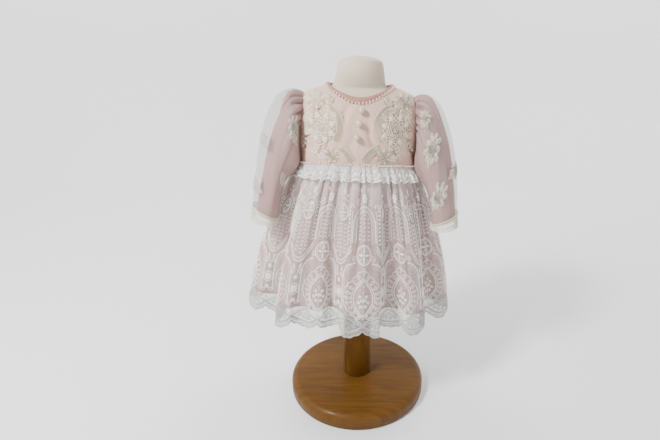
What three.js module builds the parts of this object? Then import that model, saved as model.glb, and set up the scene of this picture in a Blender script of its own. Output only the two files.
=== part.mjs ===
// A baby's long-sleeved christening gown, dressed on a limbless form that stands on a turned wooden base.
// Millimetres, +Z up, the front faces -Y. The origin is the centre of the base's underside.
// "left" and "right" are the wearer's own, so the left sleeve is on +X.
import * as THREE from 'three';

// Stand
const BASE_RADIUS = 140;
const BASE_HEIGHT = 32;
const BASE_EDGE_RADIUS = 14;
const POST_RADIUS = 28;
const FORM_BOTTOM_Z = 404;
const STAND_SIDES = 40;

// Cloth
const BODICE_WALL = 1.4;
const SLEEVE_WALL = 1.2;
const LACE_WALL = 1.0;
const SEAM_GAP = 0.3;
const LIE_GAP = 0.45; // from a panel to what lies on it

// The whole dressed form leans a little to the wearer's left
const LEAN_DEG = 2.2;
const LEAN_PIVOT_Z = 490;

// Rings of the bodice from below the waist to above the neck point: half width, half depth to front and back
const TORSO = [
  { z: 440, half: 106, front: 76, back: 66 },
  { z: 470, half: 106, front: 76.5, back: 66 },
  { z: 500, half: 106, front: 77, back: 67 },
  { z: 532, half: 106, front: 75, back: 68 },
  { z: 556, half: 105.5, front: 70, back: 68 },
  { z: 576, half: 103, front: 62.5, back: 65 },
  { z: 590, half: 98.8, front: 55, back: 58 },
  { z: 600, half: 94, front: 47.5, back: 50 },
  { z: 609, half: 75, front: 36, back: 38 },
  { z: 617, half: 52, front: 23, back: 25 },
  { z: 624, half: 26, front: 10, back: 11 },
];
const TORSO_TOP_Z = 624;

// Bodice outline
const WAIST_SIDE_Z = 477;
const WAIST_FRONT_RISE = 14;
const NECK_HALF_WIDTH = 52;
const NECK_FRONT_DEPTH = 50;
const NECK_BACK_DEPTH = 38;
const NECK_BAND_WIDTH = 7;
const NECK_BAND_WALL = 1.6;
const SHOULDER_TIP = { x: 94, z: 600 };
const ARMPIT = { x: 106, z: 512 };
const ARMHOLE_BOW = 2.2;
const BODICE_COLUMNS = { neck: 5, shoulder: 3, armhole: 5 };
const BODICE_COLUMN_SHARE = { neck: 0.42, shoulder: 0.28, armhole: 0.3 };
const BODICE_ROWS = 6;
const BODICE_ROW_POWER = 1.5; // rows lie closer together near the shoulders

// Front pearl buttons
const PEARL_RADIUS = 5.3;
const PEARLS = [
  { x: 4, z: 577 },
  { x: 1, z: 558 },
  { x: -2, z: 537 },
];

// Sleeves, for the left arm; the right one is its mirror image
const CUFF = { x: 156, y: -64, z: 387, half: 21, depth: 19, rise: 3 };
const SLEEVE_HEAD_PULL = { out: 36, outTop: 20, outFront: -26, forward: -20, round: -20, up: -3, upTop: 18 };
const SLEEVE_CUFF_PULL = { inward: -5, inwardTop: 2, inwardFront: -10, back: 8, up: 74, upTop: 31 };
const SLEEVE_START_GAP = 1.1;
const SLEEVE_SIDES = 32;
const SLEEVE_STATIONS = [0, 0.05, 0.12, 0.22, 0.36, 0.52, 0.7, 0.915, 0.945];
const HEAD_GATHERS = { waves: 16, depth: 2.2, peak: 0.1, end: 0.42 };
const CUFF_LACE = { from: 0.915, scallops: 16, drop: 2.8, wall: 1 };

// Skirt
const SKIRT_HEM = { half: 185, front: 115, back: 112, z: 199, quarterDrop: 8, slope: -0.025, sway: -5 };
const SKIRT_BELL = 1.75;
const SKIRT_COLUMNS = 120;
const SKIRT_STATIONS = [0, 0.05, 0.16, 0.36, 0.62, 0.86];
const HEM_FINENESS = 3;
const FOLD_RAMP = 0.85;
const FOLD_ROLL = 0.75; // how far the flanks roll over the valleys at the hem
// Folds round the hem, counted from centre front towards the wearer's left.
// Each row has a ridge and the valley after it.
// breadth above 1 makes the ridge broad and its valleys narrow.
const FOLDS = [
  { ridgeDeg: -77, ridge: 15, valleyDeg: -50, valley: -25, breadth: 1.35 },
  { ridgeDeg: -38, ridge: 14, valleyDeg: -27, valley: -5, breadth: 1.2 },
  { ridgeDeg: -18, ridge: 4, valleyDeg: -11, valley: -20, breadth: 1.2 },
  { ridgeDeg: 7, ridge: 17, valleyDeg: 25, valley: -25, breadth: 2.5 },
  { ridgeDeg: 39, ridge: 14, valleyDeg: 57, valley: -22, breadth: 1.5 },
  { ridgeDeg: 80, ridge: 13, valleyDeg: 99, valley: -16, breadth: 1.35 },
  { ridgeDeg: 118, ridge: 12, valleyDeg: 136, valley: -20, breadth: 1.4 },
  { ridgeDeg: 152, ridge: 14, valleyDeg: 167, valley: -18, breadth: 1.3 },
  { ridgeDeg: 183, ridge: 13, valleyDeg: 198, valley: -20, breadth: 1.5 },
  { ridgeDeg: 215, ridge: 14, valleyDeg: 231, valley: -18, breadth: 1.3 },
  { ridgeDeg: 247, ridge: 13, valleyDeg: 263, valley: -14, breadth: 1.4 },
];
const WAIST_GATHERS = { waves: 30, depth: 3.2, peak: 0.05, end: 0.5 };
// The lace's lower edge: motifs repeat round the hem, two points to a motif, with small scallops along them
const LACE_REPEATS = 12;
const HEM_POINTS = { perRepeat: 2, drop: 14, axisDeg: 7 }; // a notch lies under the motif at axisDeg
const HEM_SCALLOPS = { perRepeat: 10, drop: 3.2 };
const LINING = { inset: 1.3, wall: 1.0, seam: 0.8, stations: [0, 0.05, 0.36, 0.86] };
const WAIST_TRIM = { reach: 0.078, stand: 1.1, flare: 4.8, wall: 1.0, scallops: 40, drop: 0.016, lift: 2,
  ruffles: 30, ruffle: 1.6 };

// Lace border on each side of the bodice front: a short straight lead from the neck, then two scallops
const BORDER = {
  halfWidth: 5.4,
  picot: 0.7,
  wall: 1.3,
  lead: { x: 45, z: 592 },
  arcs: [
    { x: 62, z: 552, radius: 33, fromDeg: 112, toDeg: 217 },
    { x: 47, z: 486, radius: 38, fromDeg: 112, toDeg: 156 },
  ],
  step: 5,
};

// Flower motifs: centre, half width and half height on the bodice front, for each side
const BODICE_MOTIFS = [
  { name: 'shoulder', x: 73.5, z: 590, half: 18.5, rise: 10, lobes: 5 },
  { name: 'chest', x: 61, z: 545, half: 22.5, rise: 24, lobes: 6 },
  { name: 'waist', x: 51, z: 509, half: 23, rise: 9.5, lobes: 5 },
];
// Flower motifs on the sleeves: place round the arm (0 outer, 90 front) and along it (0 shoulder, 1 cuff)
const SLEEVE_MOTIFS = [
  { side: 1, name: 'left_top', aroundDeg: 64, along: 0.19, radius: 12, lobes: 5 },
  { side: 1, name: 'left_upper', aroundDeg: 84, along: 0.42, radius: 18, lobes: 6 },
  { side: 1, name: 'left_lower', aroundDeg: 100, along: 0.71, radius: 17, lobes: 6 },
  { side: 1, name: 'left_outer', aroundDeg: 20, along: 0.68, radius: 12, lobes: 5 },
  { side: -1, name: 'right_top', aroundDeg: 100, along: 0.2, radius: 14, lobes: 5 },
  { side: -1, name: 'right_upper', aroundDeg: 26, along: 0.54, radius: 12, lobes: 5 },
  { side: -1, name: 'right_lower', aroundDeg: 122, along: 0.57, radius: 10, lobes: 5 },
  { side: -1, name: 'right_outer', aroundDeg: 22, along: 0.8, radius: 12, lobes: 5 },
];
const MOTIF = { wall: 1.2, crown: 1.1, petalCut: 0.24, spokes: 20 };

const COLOURS = {
  pinkCloth: { color: 0xe6c9c1, roughness: 0.6 },
  pinkSilk: { color: 0xdcbcbb, roughness: 0.5 },
  satinBand: { color: 0xcf9f98, roughness: 0.4 },
  ivoryLace: { color: 0xece4d6, roughness: 0.8 },
  whiteLace: { color: 0xeeece6, roughness: 0.8 },
  pearl: { color: 0xf1e7da, roughness: 0.25 },
  jersey: { color: 0xe9dfcd, roughness: 0.85 },
  wood: { color: 0xa8743c, roughness: 0.45 },
};

const radians = THREE.MathUtils.degToRad;
const lerp = THREE.MathUtils.lerp;
const clamp = THREE.MathUtils.clamp;
const TURN = 2 * Math.PI;

// Value of one column of a table at a height between its rows, on a smooth curve that doesn't overshoot them.
function tableValue(rows, column, z) {
  const last = rows.length - 1;
  let i = 0;
  while (i < last - 1 && z > rows[i + 1].z) i += 1;
  const slope = (k) => (rows[k + 1][column] - rows[k][column]) / (rows[k + 1].z - rows[k].z);
  const tangent = (k) => {
    if (k === 0) return slope(0);
    if (k === last) return slope(last - 1);
    const before = slope(k - 1);
    const after = slope(k);
    return before * after <= 0 ? 0 : (2 * before * after) / (before + after);
  };
  const span = rows[i + 1].z - rows[i].z;
  const t = clamp((z - rows[i].z) / span, 0, 1);
  const t2 = t * t;
  const t3 = t2 * t;
  return (2 * t3 - 3 * t2 + 1) * rows[i][column] + (t3 - 2 * t2 + t) * span * tangent(i)
    + (3 * t2 - 2 * t3) * rows[i + 1][column] + (t3 - t2) * span * tangent(i + 1);
}

// A closed body from rows of points on its outer face and the matching rows on its inner face.
// A row may hold a whole multiple of the cells of the row above it. wraps joins each row's end to its start.
function shell(outer, inner, wraps) {
  const points = [];
  const triangles = [];
  const indexRows = (rows) => rows.map((row) => row.map((p) => points.push(p) - 1));
  const outside = indexRows(outer);
  const inside = indexRows(inner);
  const cells = (row) => (wraps ? row.length : row.length - 1);
  const stitch = (above, below, flip) => {
    const ratio = cells(below) / cells(above);
    const add = (a, b, c) => triangles.push(...(flip ? [a, c, b] : [a, b, c]));
    for (let j = 0; j < cells(above); j += 1) {
      const next = above[(j + 1) % above.length];
      const turn = Math.floor(ratio / 2);
      for (let k = 0; k < ratio; k += 1) {
        const from = below[(j * ratio + k) % below.length];
        const to = below[(j * ratio + k + 1) % below.length];
        add(k < turn || ratio === 1 ? above[j] : next, from, to);
        if (k === turn) add(above[j], ratio === 1 ? to : from, next);
      }
    }
  };
  const lastRow = outside.length - 1;
  for (let i = 0; i < lastRow; i += 1) {
    stitch(outside[i], outside[i + 1], false);
    stitch(inside[i], inside[i + 1], true);
  }
  stitch(inside[0], outside[0], false);
  stitch(outside[lastRow], inside[lastRow], false);
  if (!wraps) {
    const edge = (rows, end) => rows.map((row) => row[end === 0 ? 0 : row.length - 1]);
    stitch(edge(outside, 0), edge(inside, 0), false);
    stitch(edge(inside, 1), edge(outside, 1), false);
  }
  return closedGeometry(points, triangles);
}

// A geometry with its faces turned to point out of the body.
function closedGeometry(points, triangles) {
  let volume = 0;
  for (let i = 0; i < triangles.length; i += 3) {
    const [a, b, c] = [points[triangles[i]], points[triangles[i + 1]], points[triangles[i + 2]]];
    volume += a.dot(new THREE.Vector3().crossVectors(b, c));
  }
  const facing = volume < 0 ? triangles.slice().reverse() : triangles;
  const geometry = new THREE.BufferGeometry();
  geometry.setFromPoints(points);
  geometry.setIndex(facing);
  geometry.computeVertexNormals();
  return geometry;
}

function material(look) {
  return new THREE.MeshStandardMaterial({ ...look, metalness: 0 });
}

function solid(name, geometry, look) {
  const mesh = new THREE.Mesh(geometry, material(look));
  mesh.name = name;
  return mesh;
}

// Bodice surface. facing is -1 on the front and 1 on the back.
function torsoDepth(z, facing) {
  return tableValue(TORSO, facing < 0 ? 'front' : 'back', z);
}

function torsoPoint(x, z, facing) {
  const half = tableValue(TORSO, 'half', z);
  const share = Math.sqrt(Math.max(0, 1 - (x / half) ** 2));
  const y = facing * Math.max(torsoDepth(z, facing) * share, SEAM_GAP / 2);
  return new THREE.Vector3(x, y, z);
}

function torsoNormal(point, facing) {
  const step = 0.5;
  const level = (z) => {
    const half = tableValue(TORSO, 'half', z);
    return (point.x / half) ** 2 + (point.y / torsoDepth(z, facing)) ** 2;
  };
  const half = tableValue(TORSO, 'half', point.z);
  const depth = torsoDepth(point.z, facing);
  const rise = (level(point.z + step) - level(point.z - step)) / (2 * step);
  return new THREE.Vector3((2 * point.x) / half ** 2, (2 * point.y) / depth ** 2, rise).normalize();
}

function torsoOffset(x, z, facing, out) {
  const point = torsoPoint(x, z, facing);
  return point.addScaledVector(torsoNormal(point, facing), out);
}

// Height of the bodice's upper surface above a point of the plan.
function torsoHeight(x, y) {
  const facing = y < 0 ? -1 : 1;
  let low = LEAN_PIVOT_Z;
  let high = TORSO_TOP_Z;
  for (let i = 0; i < 40; i += 1) {
    const z = (low + high) / 2;
    const half = tableValue(TORSO, 'half', z);
    const outside = (x / half) ** 2 + (y / torsoDepth(z, facing)) ** 2 > 1;
    if (outside) high = z;
    else low = z;
  }
  return low;
}

function waistHeight(sine, facing) {
  const cosine = Math.sqrt(Math.max(0, 1 - sine * sine));
  return WAIST_SIDE_Z + (facing < 0 ? WAIST_FRONT_RISE * cosine : 0);
}

function armholeX(z) {
  const drop = clamp((SHOULDER_TIP.z - z) / (SHOULDER_TIP.z - ARMPIT.z), 0, 1);
  return SHOULDER_TIP.x + (ARMPIT.x - SHOULDER_TIP.x) * drop ** ARMHOLE_BOW;
}

// Upper outline of half a bodice panel, from its centre line over the neck and shoulder to the armpit.
function bodiceOutline(facing) {
  const { neck, shoulder, armhole } = BODICE_COLUMNS;
  const depth = facing < 0 ? NECK_FRONT_DEPTH : NECK_BACK_DEPTH;
  const outline = [];
  for (let i = 0; i <= neck; i += 1) {
    const angle = (i / neck) * (Math.PI / 2);
    const x = NECK_HALF_WIDTH * Math.sin(angle);
    const share = (i / neck) * BODICE_COLUMN_SHARE.neck;
    outline.push({ x, z: torsoHeight(x, facing * depth * Math.cos(angle)), share });
  }
  for (let i = 1; i <= shoulder; i += 1) {
    const x = lerp(NECK_HALF_WIDTH, SHOULDER_TIP.x, i / shoulder);
    const share = BODICE_COLUMN_SHARE.neck + (i / shoulder) * BODICE_COLUMN_SHARE.shoulder;
    outline.push({ x, z: torsoHeight(x, 0), share });
  }
  for (let i = 1; i <= armhole; i += 1) {
    const z = lerp(SHOULDER_TIP.z, ARMPIT.z, i / armhole);
    outline.push({ x: armholeX(z), z, share: 1 - BODICE_COLUMN_SHARE.armhole * (1 - i / armhole) });
  }
  return outline;
}

// A bodice panel between two outlines' columns, as a wall inside the bodice surface.
function bodicePanel(columns, facing) {
  const rows = { outer: [], inner: [] };
  for (let i = 0; i <= BODICE_ROWS; i += 1) {
    const down = (i / BODICE_ROWS) ** BODICE_ROW_POWER;
    const place = (out) => columns.map((column) => {
      const sine = Math.sin((column.share * Math.PI) / 2);
      const bottomX = TORSO[1].half * sine;
      const x = lerp(column.x, bottomX, down);
      const z = lerp(column.z, waistHeight(sine, facing), down);
      const point = torsoOffset(x * column.mirror + column.shift, z, facing, out);
      return point;
    });
    rows.outer.push(place(0));
    rows.inner.push(place(-BODICE_WALL));
  }
  return shell(rows.outer, rows.inner, false);
}

function bodiceFront() {
  const half = bodiceOutline(-1);
  const right = half.slice(1).reverse().map((column) => ({ ...column, mirror: -1, shift: 0 }));
  const left = half.map((column) => ({ ...column, mirror: 1, shift: 0 }));
  return bodicePanel([...right, ...left], -1);
}

// Each half back stops just short of the centre-back opening, which hidden fasteners close.
function bodiceBack(side) {
  const shift = (column) => (column.share === 0 ? (side * SEAM_GAP) / 2 : 0);
  const columns = bodiceOutline(1).map((column) => ({ ...column, mirror: side, shift: shift(column) }));
  return bodicePanel(columns, 1);
}

// The satin band round the neck, folded over the bodice's edge.
function neckBand() {
  const steps = 40;
  const rows = { outer: [], inner: [] };
  [0, 0.5, 1].forEach((across) => {
    const place = (out) => Array.from({ length: steps }, (_, i) => {
      const angle = (i / steps) * TURN;
      const cosine = Math.cos(angle);
      const facing = cosine > 0 ? -1 : 1;
      const depth = facing < 0 ? NECK_FRONT_DEPTH : NECK_BACK_DEPTH;
      const reach = across * NECK_BAND_WIDTH;
      const x = (NECK_HALF_WIDTH + reach) * Math.sin(angle);
      const y = -(depth + reach) * cosine;
      const point = new THREE.Vector3(x, y, torsoHeight(x, y));
      return point.addScaledVector(torsoNormal(point, facing), out);
    });
    rows.outer.push(place(LIE_GAP + NECK_BAND_WALL));
    rows.inner.push(place(LIE_GAP));
  });
  return shell(rows.outer, rows.inner, true);
}

function pearlButton({ x, z }) {
  const geometry = new THREE.SphereGeometry(PEARL_RADIUS, 12, 8);
  const centre = torsoOffset(x, z, -1, PEARL_RADIUS + SEAM_GAP);
  return geometry.translate(centre.x, centre.y, centre.z);
}

// Sleeve surface. around is 0 on the outer side of the arm and a quarter turn on its front.
// along runs from 0 at the armhole to 1 at the cuff's edge.
function sleevePoint(around, along) {
  const cosine = Math.cos(around);
  const sine = Math.sin(around);
  const facing = sine > 0 ? -1 : 1;
  const z = lerp(ARMPIT.z, SHOULDER_TIP.z, (1 + cosine) / 2);
  const x = armholeX(z);
  const half = tableValue(TORSO, 'half', z);
  const y = facing * torsoDepth(z, facing) * Math.sqrt(Math.max(0, 1 - (x / half) ** 2));
  const pull = SLEEVE_HEAD_PULL;
  const ease = SLEEVE_CUFF_PULL;
  const start = new THREE.Vector3(x + SLEEVE_START_GAP, y, z);
  const front = Math.max(0, sine) ** 2;
  const head = new THREE.Vector3(
    pull.out + pull.outTop * cosine + pull.outFront * front,
    pull.forward + pull.round * sine,
    pull.up + pull.upTop * cosine,
  ).add(start);
  const end = new THREE.Vector3(
    CUFF.x + CUFF.half * cosine,
    CUFF.y - CUFF.depth * sine,
    CUFF.z + CUFF.rise * (cosine - sine),
  );
  const wrist = new THREE.Vector3(
    ease.inward + ease.inwardTop * cosine + ease.inwardFront * front,
    ease.back,
    ease.up + ease.upTop * cosine,
  ).add(end);
  return new THREE.CubicBezierCurve3(start, head, wrist, end).getPoint(along);
}

function sleeveNormal(around, along) {
  const step = 0.01;
  const low = clamp(along - step, 0, 1);
  const high = clamp(along + step, 0, 1);
  const round = sleevePoint(around + step, along).sub(sleevePoint(around - step, along));
  const down = sleevePoint(around, high).sub(sleevePoint(around, low));
  return round.cross(down).normalize();
}

// Gathers of the sleeve head: raised along the seam's upper part, dying out towards the elbow.
function headRidge(around, along) {
  const { depth, peak, end } = HEAD_GATHERS;
  const grow = Math.min(1, along / peak);
  const fade = Math.max(0, 1 - along / end);
  const upper = Math.max(0, 0.35 + 0.65 * Math.cos(around));
  return 2 * depth * grow * fade * upper;
}

function headGather(around, along) {
  return headRidge(around, along) * (0.5 + 0.5 * Math.cos(HEAD_GATHERS.waves * around));
}

function sleeveOffset(side, around, along, out, gather = headGather) {
  const point = sleevePoint(around, along);
  point.addScaledVector(sleeveNormal(around, along), out + gather(around, along));
  point.x *= side;
  return point;
}

function ringOf(count, place) {
  return Array.from({ length: count }, (_, i) => place((i / count) * TURN));
}

function sleeve(side) {
  const rows = (out) => SLEEVE_STATIONS.map(
    (along) => ringOf(SLEEVE_SIDES, (around) => sleeveOffset(side, around, along, out)));
  return shell(rows(0), rows(-SLEEVE_WALL), true);
}

// Lace sewn over the sleeve's end, with a scalloped lower edge.
function cuffLace(side) {
  const { from, scallops, drop, wall } = CUFF_LACE;
  const place = (out) => [
    ringOf(SLEEVE_SIDES, (around) => sleeveOffset(side, around, from, out)),
    ringOf(SLEEVE_SIDES, (around) => sleeveOffset(side, around, SLEEVE_STATIONS.at(-1), out)),
    ringOf(SLEEVE_SIDES * 2, (around) => {
      const point = sleeveOffset(side, around, 1, out);
      point.z += drop * Math.cos(scallops * around);
      return point;
    }),
  ];
  return shell(place(LIE_GAP + wall), place(LIE_GAP), true);
}

// Fold offset and sideways roll at an angle round the hem, in millimetres and radians at full depth.
function foldAt(angle) {
  const deg = THREE.MathUtils.radToDeg(angle);
  const count = FOLDS.length;
  const wrap = (value, base) => base + ((((value - base) % 360) + 360) % 360);
  const from = FOLDS[0].ridgeDeg;
  const place = wrap(deg, from);
  let i = count - 1;
  while (wrap(FOLDS[i].ridgeDeg, from) > place) i -= 1;
  const here = FOLDS[i];
  const next = FOLDS[(i + 1) % count];
  const ridgeDeg = wrap(here.ridgeDeg, from);
  const valleyDeg = wrap(here.valleyDeg, ridgeDeg);
  const nextDeg = wrap(next.ridgeDeg, valleyDeg);
  const before = place <= valleyDeg;
  const near = before ? here : next;
  const span = before ? valleyDeg - ridgeDeg : valleyDeg - nextDeg;
  const share = clamp((place - (before ? ridgeDeg : nextDeg)) / span, 0, 1);
  const fall = (1 - Math.cos(Math.PI * share ** near.breadth)) / 2;
  return {
    out: lerp(near.ridge, here.valley, fall),
    roll: (radians(span) * Math.sin(TURN * share)) / TURN,
  };
}

// Skirt surface without its waist gathers. angle is 0 at centre front.
// down runs from 0 at the waist to 1 at the hem.
function skirtBase(angle, down) {
  const bell = 1 - Math.max(0, 1 - down) ** SKIRT_BELL;
  const fold = foldAt(angle);
  const ramp = down ** FOLD_RAMP;
  const turned = angle + fold.roll * FOLD_ROLL * ramp;
  const sine = Math.sin(turned);
  const cosine = Math.cos(turned);
  const facing = cosine > 0 ? -1 : 1;
  const half = lerp(TORSO[1].half, SKIRT_HEM.half, bell) + fold.out * ramp;
  const waistDepth = facing < 0 ? TORSO[1].front : TORSO[1].back;
  const hemDepth = facing < 0 ? SKIRT_HEM.front : SKIRT_HEM.back;
  const depth = lerp(waistDepth, hemDepth, bell) + fold.out * ramp;
  const top = waistHeight(Math.sin(angle), Math.cos(angle) > 0 ? -1 : 1) - SEAM_GAP;
  const across = half * sine + SKIRT_HEM.sway * bell;
  const level = SKIRT_HEM.z + SKIRT_HEM.slope * SKIRT_HEM.half * Math.sin(angle);
  const bottom = level - SKIRT_HEM.quarterDrop * Math.sin(2 * angle) ** 2;
  return new THREE.Vector3(across, -depth * cosine, lerp(top, bottom, down));
}

// Cloth length round the hem, from one side seam round the front and back to it.
// Shares of it are the cloth's own coordinate, 0 to 1.
const CLOTH = clothTable();
function clothTable() {
  const steps = 1440;
  const start = -Math.PI / 2;
  const table = [{ angle: start, length: 0 }];
  let last = skirtBase(start, 1);
  for (let i = 1; i <= steps; i += 1) {
    const angle = start + (i / steps) * TURN;
    const point = skirtBase(angle, 1);
    table.push({ angle, length: table[i - 1].length + point.distanceTo(last) });
    last = point;
  }
  return table;
}

function angleAtLength(share, low, high) {
  const { length: startLength } = CLOTH[low];
  const wanted = startLength + share * (CLOTH[high].length - startLength);
  let i = low;
  while (i < high - 1 && CLOTH[i + 1].length < wanted) i += 1;
  const step = (wanted - CLOTH[i].length) / (CLOTH[i + 1].length - CLOTH[i].length);
  return lerp(CLOTH[i].angle, CLOTH[i + 1].angle, clamp(step, 0, 1));
}

// Each half of the cloth has its own even spacing, so that both side seams lie on a column.
function clothAngle(cloth) {
  const middle = (CLOTH.length - 1) / 2;
  return cloth <= 0.5
    ? angleAtLength(cloth * 2, 0, middle)
    : angleAtLength(cloth * 2 - 1, middle, CLOTH.length - 1);
}

function waistGather(cloth, down) {
  const { waves, depth, peak, end } = WAIST_GATHERS;
  const grow = Math.min(1, down / peak);
  const fade = Math.max(0, 1 - down / end);
  return depth * grow * fade * (1 + Math.cos(TURN * waves * cloth)) / 2;
}

function skirtNormal(angle, down) {
  const step = 0.004;
  const low = clamp(down - step, 0, 1);
  const high = clamp(down + step, 0, 1);
  const round = skirtBase(angle + step, down).sub(skirtBase(angle - step, down));
  const fall = skirtBase(angle, high).sub(skirtBase(angle, low));
  return fall.cross(round).normalize();
}

function skirtOffset(cloth, down, out) {
  const angle = clothAngle(cloth);
  const point = skirtBase(angle, down);
  return point.addScaledVector(skirtNormal(angle, down), out + waistGather(cloth, down));
}

// Cloth coordinate of an angle on the front of the skirt.
function clothShare(angle) {
  const middle = (CLOTH.length - 1) / 2;
  const i = CLOTH.findIndex((row) => row.angle >= angle);
  return CLOTH[i].length / CLOTH[middle].length / 2;
}

const HEM_AXIS = clothShare(radians(HEM_POINTS.axisDeg));

// How far the lace's lower edge rises above its lowest points.
function hemRise(cloth) {
  const fromAxis = cloth - HEM_AXIS;
  const point = Math.abs(Math.sin(Math.PI * LACE_REPEATS * HEM_POINTS.perRepeat * fromAxis));
  const scallop = Math.abs(Math.sin(Math.PI * LACE_REPEATS * HEM_SCALLOPS.perRepeat * cloth));
  return HEM_POINTS.drop * (1 - point) + HEM_SCALLOPS.drop * (1 - scallop);
}

function clothSteps(from, to, count) {
  return Array.from({ length: count + 1 }, (_, i) => lerp(from, to, i / count));
}

function skirtLace(from, to) {
  const columns = SKIRT_COLUMNS * (to - from);
  const trim = SEAM_GAP / 2 / CLOTH.at(-1).length;
  const steps = clothSteps(from + trim, to - trim, columns);
  const fine = clothSteps(from + trim, to - trim, columns * HEM_FINENESS);
  const place = (out) => [
    ...SKIRT_STATIONS.map((down) => steps.map((cloth) => skirtOffset(cloth, down, out))),
    fine.map((cloth) => {
      const point = skirtOffset(cloth, 1, out);
      point.z += hemRise(cloth);
      return point;
    }),
  ];
  return shell(place(LACE_WALL / 2), place(-LACE_WALL / 2), false);
}

function skirtLining(from, to) {
  const trim = LINING.seam / CLOTH.at(-1).length;
  const steps = clothSteps(from + trim, to - trim, SKIRT_COLUMNS * (to - from));
  const place = (out) => LINING.stations.map((down) => steps.map((cloth) => skirtOffset(cloth, down, out)));
  return shell(place(-LINING.inset), place(-LINING.inset - LINING.wall), false);
}

// Gathered lace edging that hangs from the waist seam over the skirt.
function waistTrim() {
  const { reach, stand, flare, wall, scallops, drop, lift, ruffles, ruffle } = WAIST_TRIM;
  const steps = clothSteps(0, 1, SKIRT_COLUMNS).slice(0, -1);
  const place = (out) => [
    steps.map((cloth) => {
      const point = skirtOffset(cloth, 0, stand + out);
      point.z += lift;
      return point;
    }),
    steps.map((cloth) => {
      const edge = reach + drop * Math.cos(TURN * scallops * cloth);
      const wave = ruffle * (0.5 + 0.5 * Math.cos(TURN * ruffles * cloth));
      return skirtOffset(cloth, edge, stand + flare + wave + out);
    }),
  ];
  return shell(place(wall), place(0), true);
}

// Centre line of a lace border on the bodice front, in its flat front view.
function borderPath() {
  const { lead, arcs, step } = BORDER;
  const path = [];
  const arcPoint = (arc, deg) => ({
    x: arc.x + arc.radius * Math.cos(radians(deg)),
    z: arc.z + arc.radius * Math.sin(radians(deg)),
  });
  const first = arcPoint(arcs[0], arcs[0].fromDeg);
  const leadSteps = Math.round(Math.hypot(first.x - lead.x, first.z - lead.z) / step);
  for (let i = 0; i < leadSteps; i += 1) {
    path.push({ x: lerp(lead.x, first.x, i / leadSteps), z: lerp(lead.z, first.z, i / leadSteps) });
  }
  arcs.forEach((arc) => {
    const steps = Math.round((radians(arc.toDeg - arc.fromDeg) * arc.radius) / step);
    for (let i = 0; i <= steps; i += 1) path.push(arcPoint(arc, lerp(arc.fromDeg, arc.toDeg, i / steps)));
  });
  return path;
}

function laceBorder(side) {
  const path = borderPath();
  const { halfWidth, picot, wall } = BORDER;
  const across = [-1, 0, 1];
  const place = (out) => path.map((point, i) => {
    const before = path[Math.max(0, i - 1)];
    const after = path[Math.min(path.length - 1, i + 1)];
    const length = Math.hypot(after.x - before.x, after.z - before.z);
    const normal = { x: (after.z - before.z) / length, z: (before.x - after.x) / length };
    const reach = halfWidth + (i % 2 ? picot : -picot);
    return across.map((share) => {
      const x = point.x + normal.x * share * reach;
      const z = point.z + normal.z * share * reach;
      return torsoOffset(side * x, z, -1, out);
    });
  });
  return shell(place(LIE_GAP + wall), place(LIE_GAP), false);
}

// A flower motif as a crowned plate with a petalled outline.
// place gives a point from its radial share, angle and height.
function motif(lobes, place) {
  const { wall, crown, petalCut, spokes } = MOTIF;
  const outlineShare = (angle) => 1 - petalCut * (1 - Math.abs(Math.cos((lobes * angle) / 2)));
  const points = [place(0, 0, LIE_GAP + wall + crown), place(0, 0, LIE_GAP)];
  const triangles = [];
  const rings = [0.5, 1].map((share) => Array.from({ length: spokes }, (_, i) => {
    const angle = (i / spokes) * TURN;
    const radius = share * outlineShare(angle);
    const raised = LIE_GAP + wall + (share < 1 ? crown * 0.6 : 0);
    const top = points.push(place(radius, angle, raised)) - 1;
    const under = points.push(place(radius, angle, LIE_GAP)) - 1;
    return { top, under };
  }));
  for (let i = 0; i < spokes; i += 1) {
    const next = (i + 1) % spokes;
    const [inner, outer] = rings;
    triangles.push(0, inner[i].top, inner[next].top, 1, inner[next].under, inner[i].under);
    triangles.push(inner[i].top, outer[i].top, outer[next].top);
    triangles.push(inner[i].top, outer[next].top, inner[next].top);
    triangles.push(inner[i].under, outer[next].under, outer[i].under);
    triangles.push(inner[i].under, inner[next].under, outer[next].under);
    triangles.push(outer[i].top, outer[i].under, outer[next].under);
    triangles.push(outer[i].top, outer[next].under, outer[next].top);
  }
  return closedGeometry(points, triangles);
}

function bodiceMotif(row, side) {
  return motif(row.lobes, (share, angle, out) => {
    const x = row.x + row.half * share * Math.cos(angle);
    return torsoOffset(side * x, row.z + row.rise * share * Math.sin(angle), -1, out);
  });
}

function sleeveMotif(row) {
  const around = radians(row.aroundDeg);
  const step = 0.02;
  const centre = sleevePoint(around, row.along);
  const roundScale = sleevePoint(around + step, row.along).distanceTo(centre) / step;
  const alongScale = sleevePoint(around, row.along + step).distanceTo(centre) / step;
  return motif(row.lobes, (share, angle, out) => sleeveOffset(row.side,
    around + (row.radius * share * Math.cos(angle)) / roundScale,
    row.along + (row.radius * share * Math.sin(angle)) / alongScale, out, headRidge));
}

// Rings of the dress form: below the neck they follow the bodice, drawn in by a clearance.
const FORM_CLEARANCE = 5;
const FORM_SHOULDER_CLEARANCE = 3.5;
const FORM_SHOULDER_DROP = 4;
const FORM_RINGS = [
  { z: FORM_BOTTOM_Z, half: 88, front: 60, back: 52 },
  { z: 412, half: 94, front: 65, back: 57 },
  { z: 440, half: 99, front: 70, back: 61 },
];
const FORM_BODY_HEIGHTS = [480, 511, 550, 575, 588, 597, 602, 606];
const FORM_NECK = [
  { z: 611, half: 52, front: 27, back: 27 },
  { z: 618, half: 44, front: 30, back: 29 },
  { z: 640, half: 40, front: 36, back: 32 },
  { z: 652, half: 37, front: 33, back: 30 },
  { z: 658, half: 28, front: 25, back: 22 },
  { z: 661, half: 14, front: 12, back: 10 },
];
const FORM_SIDES = 28;

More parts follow.
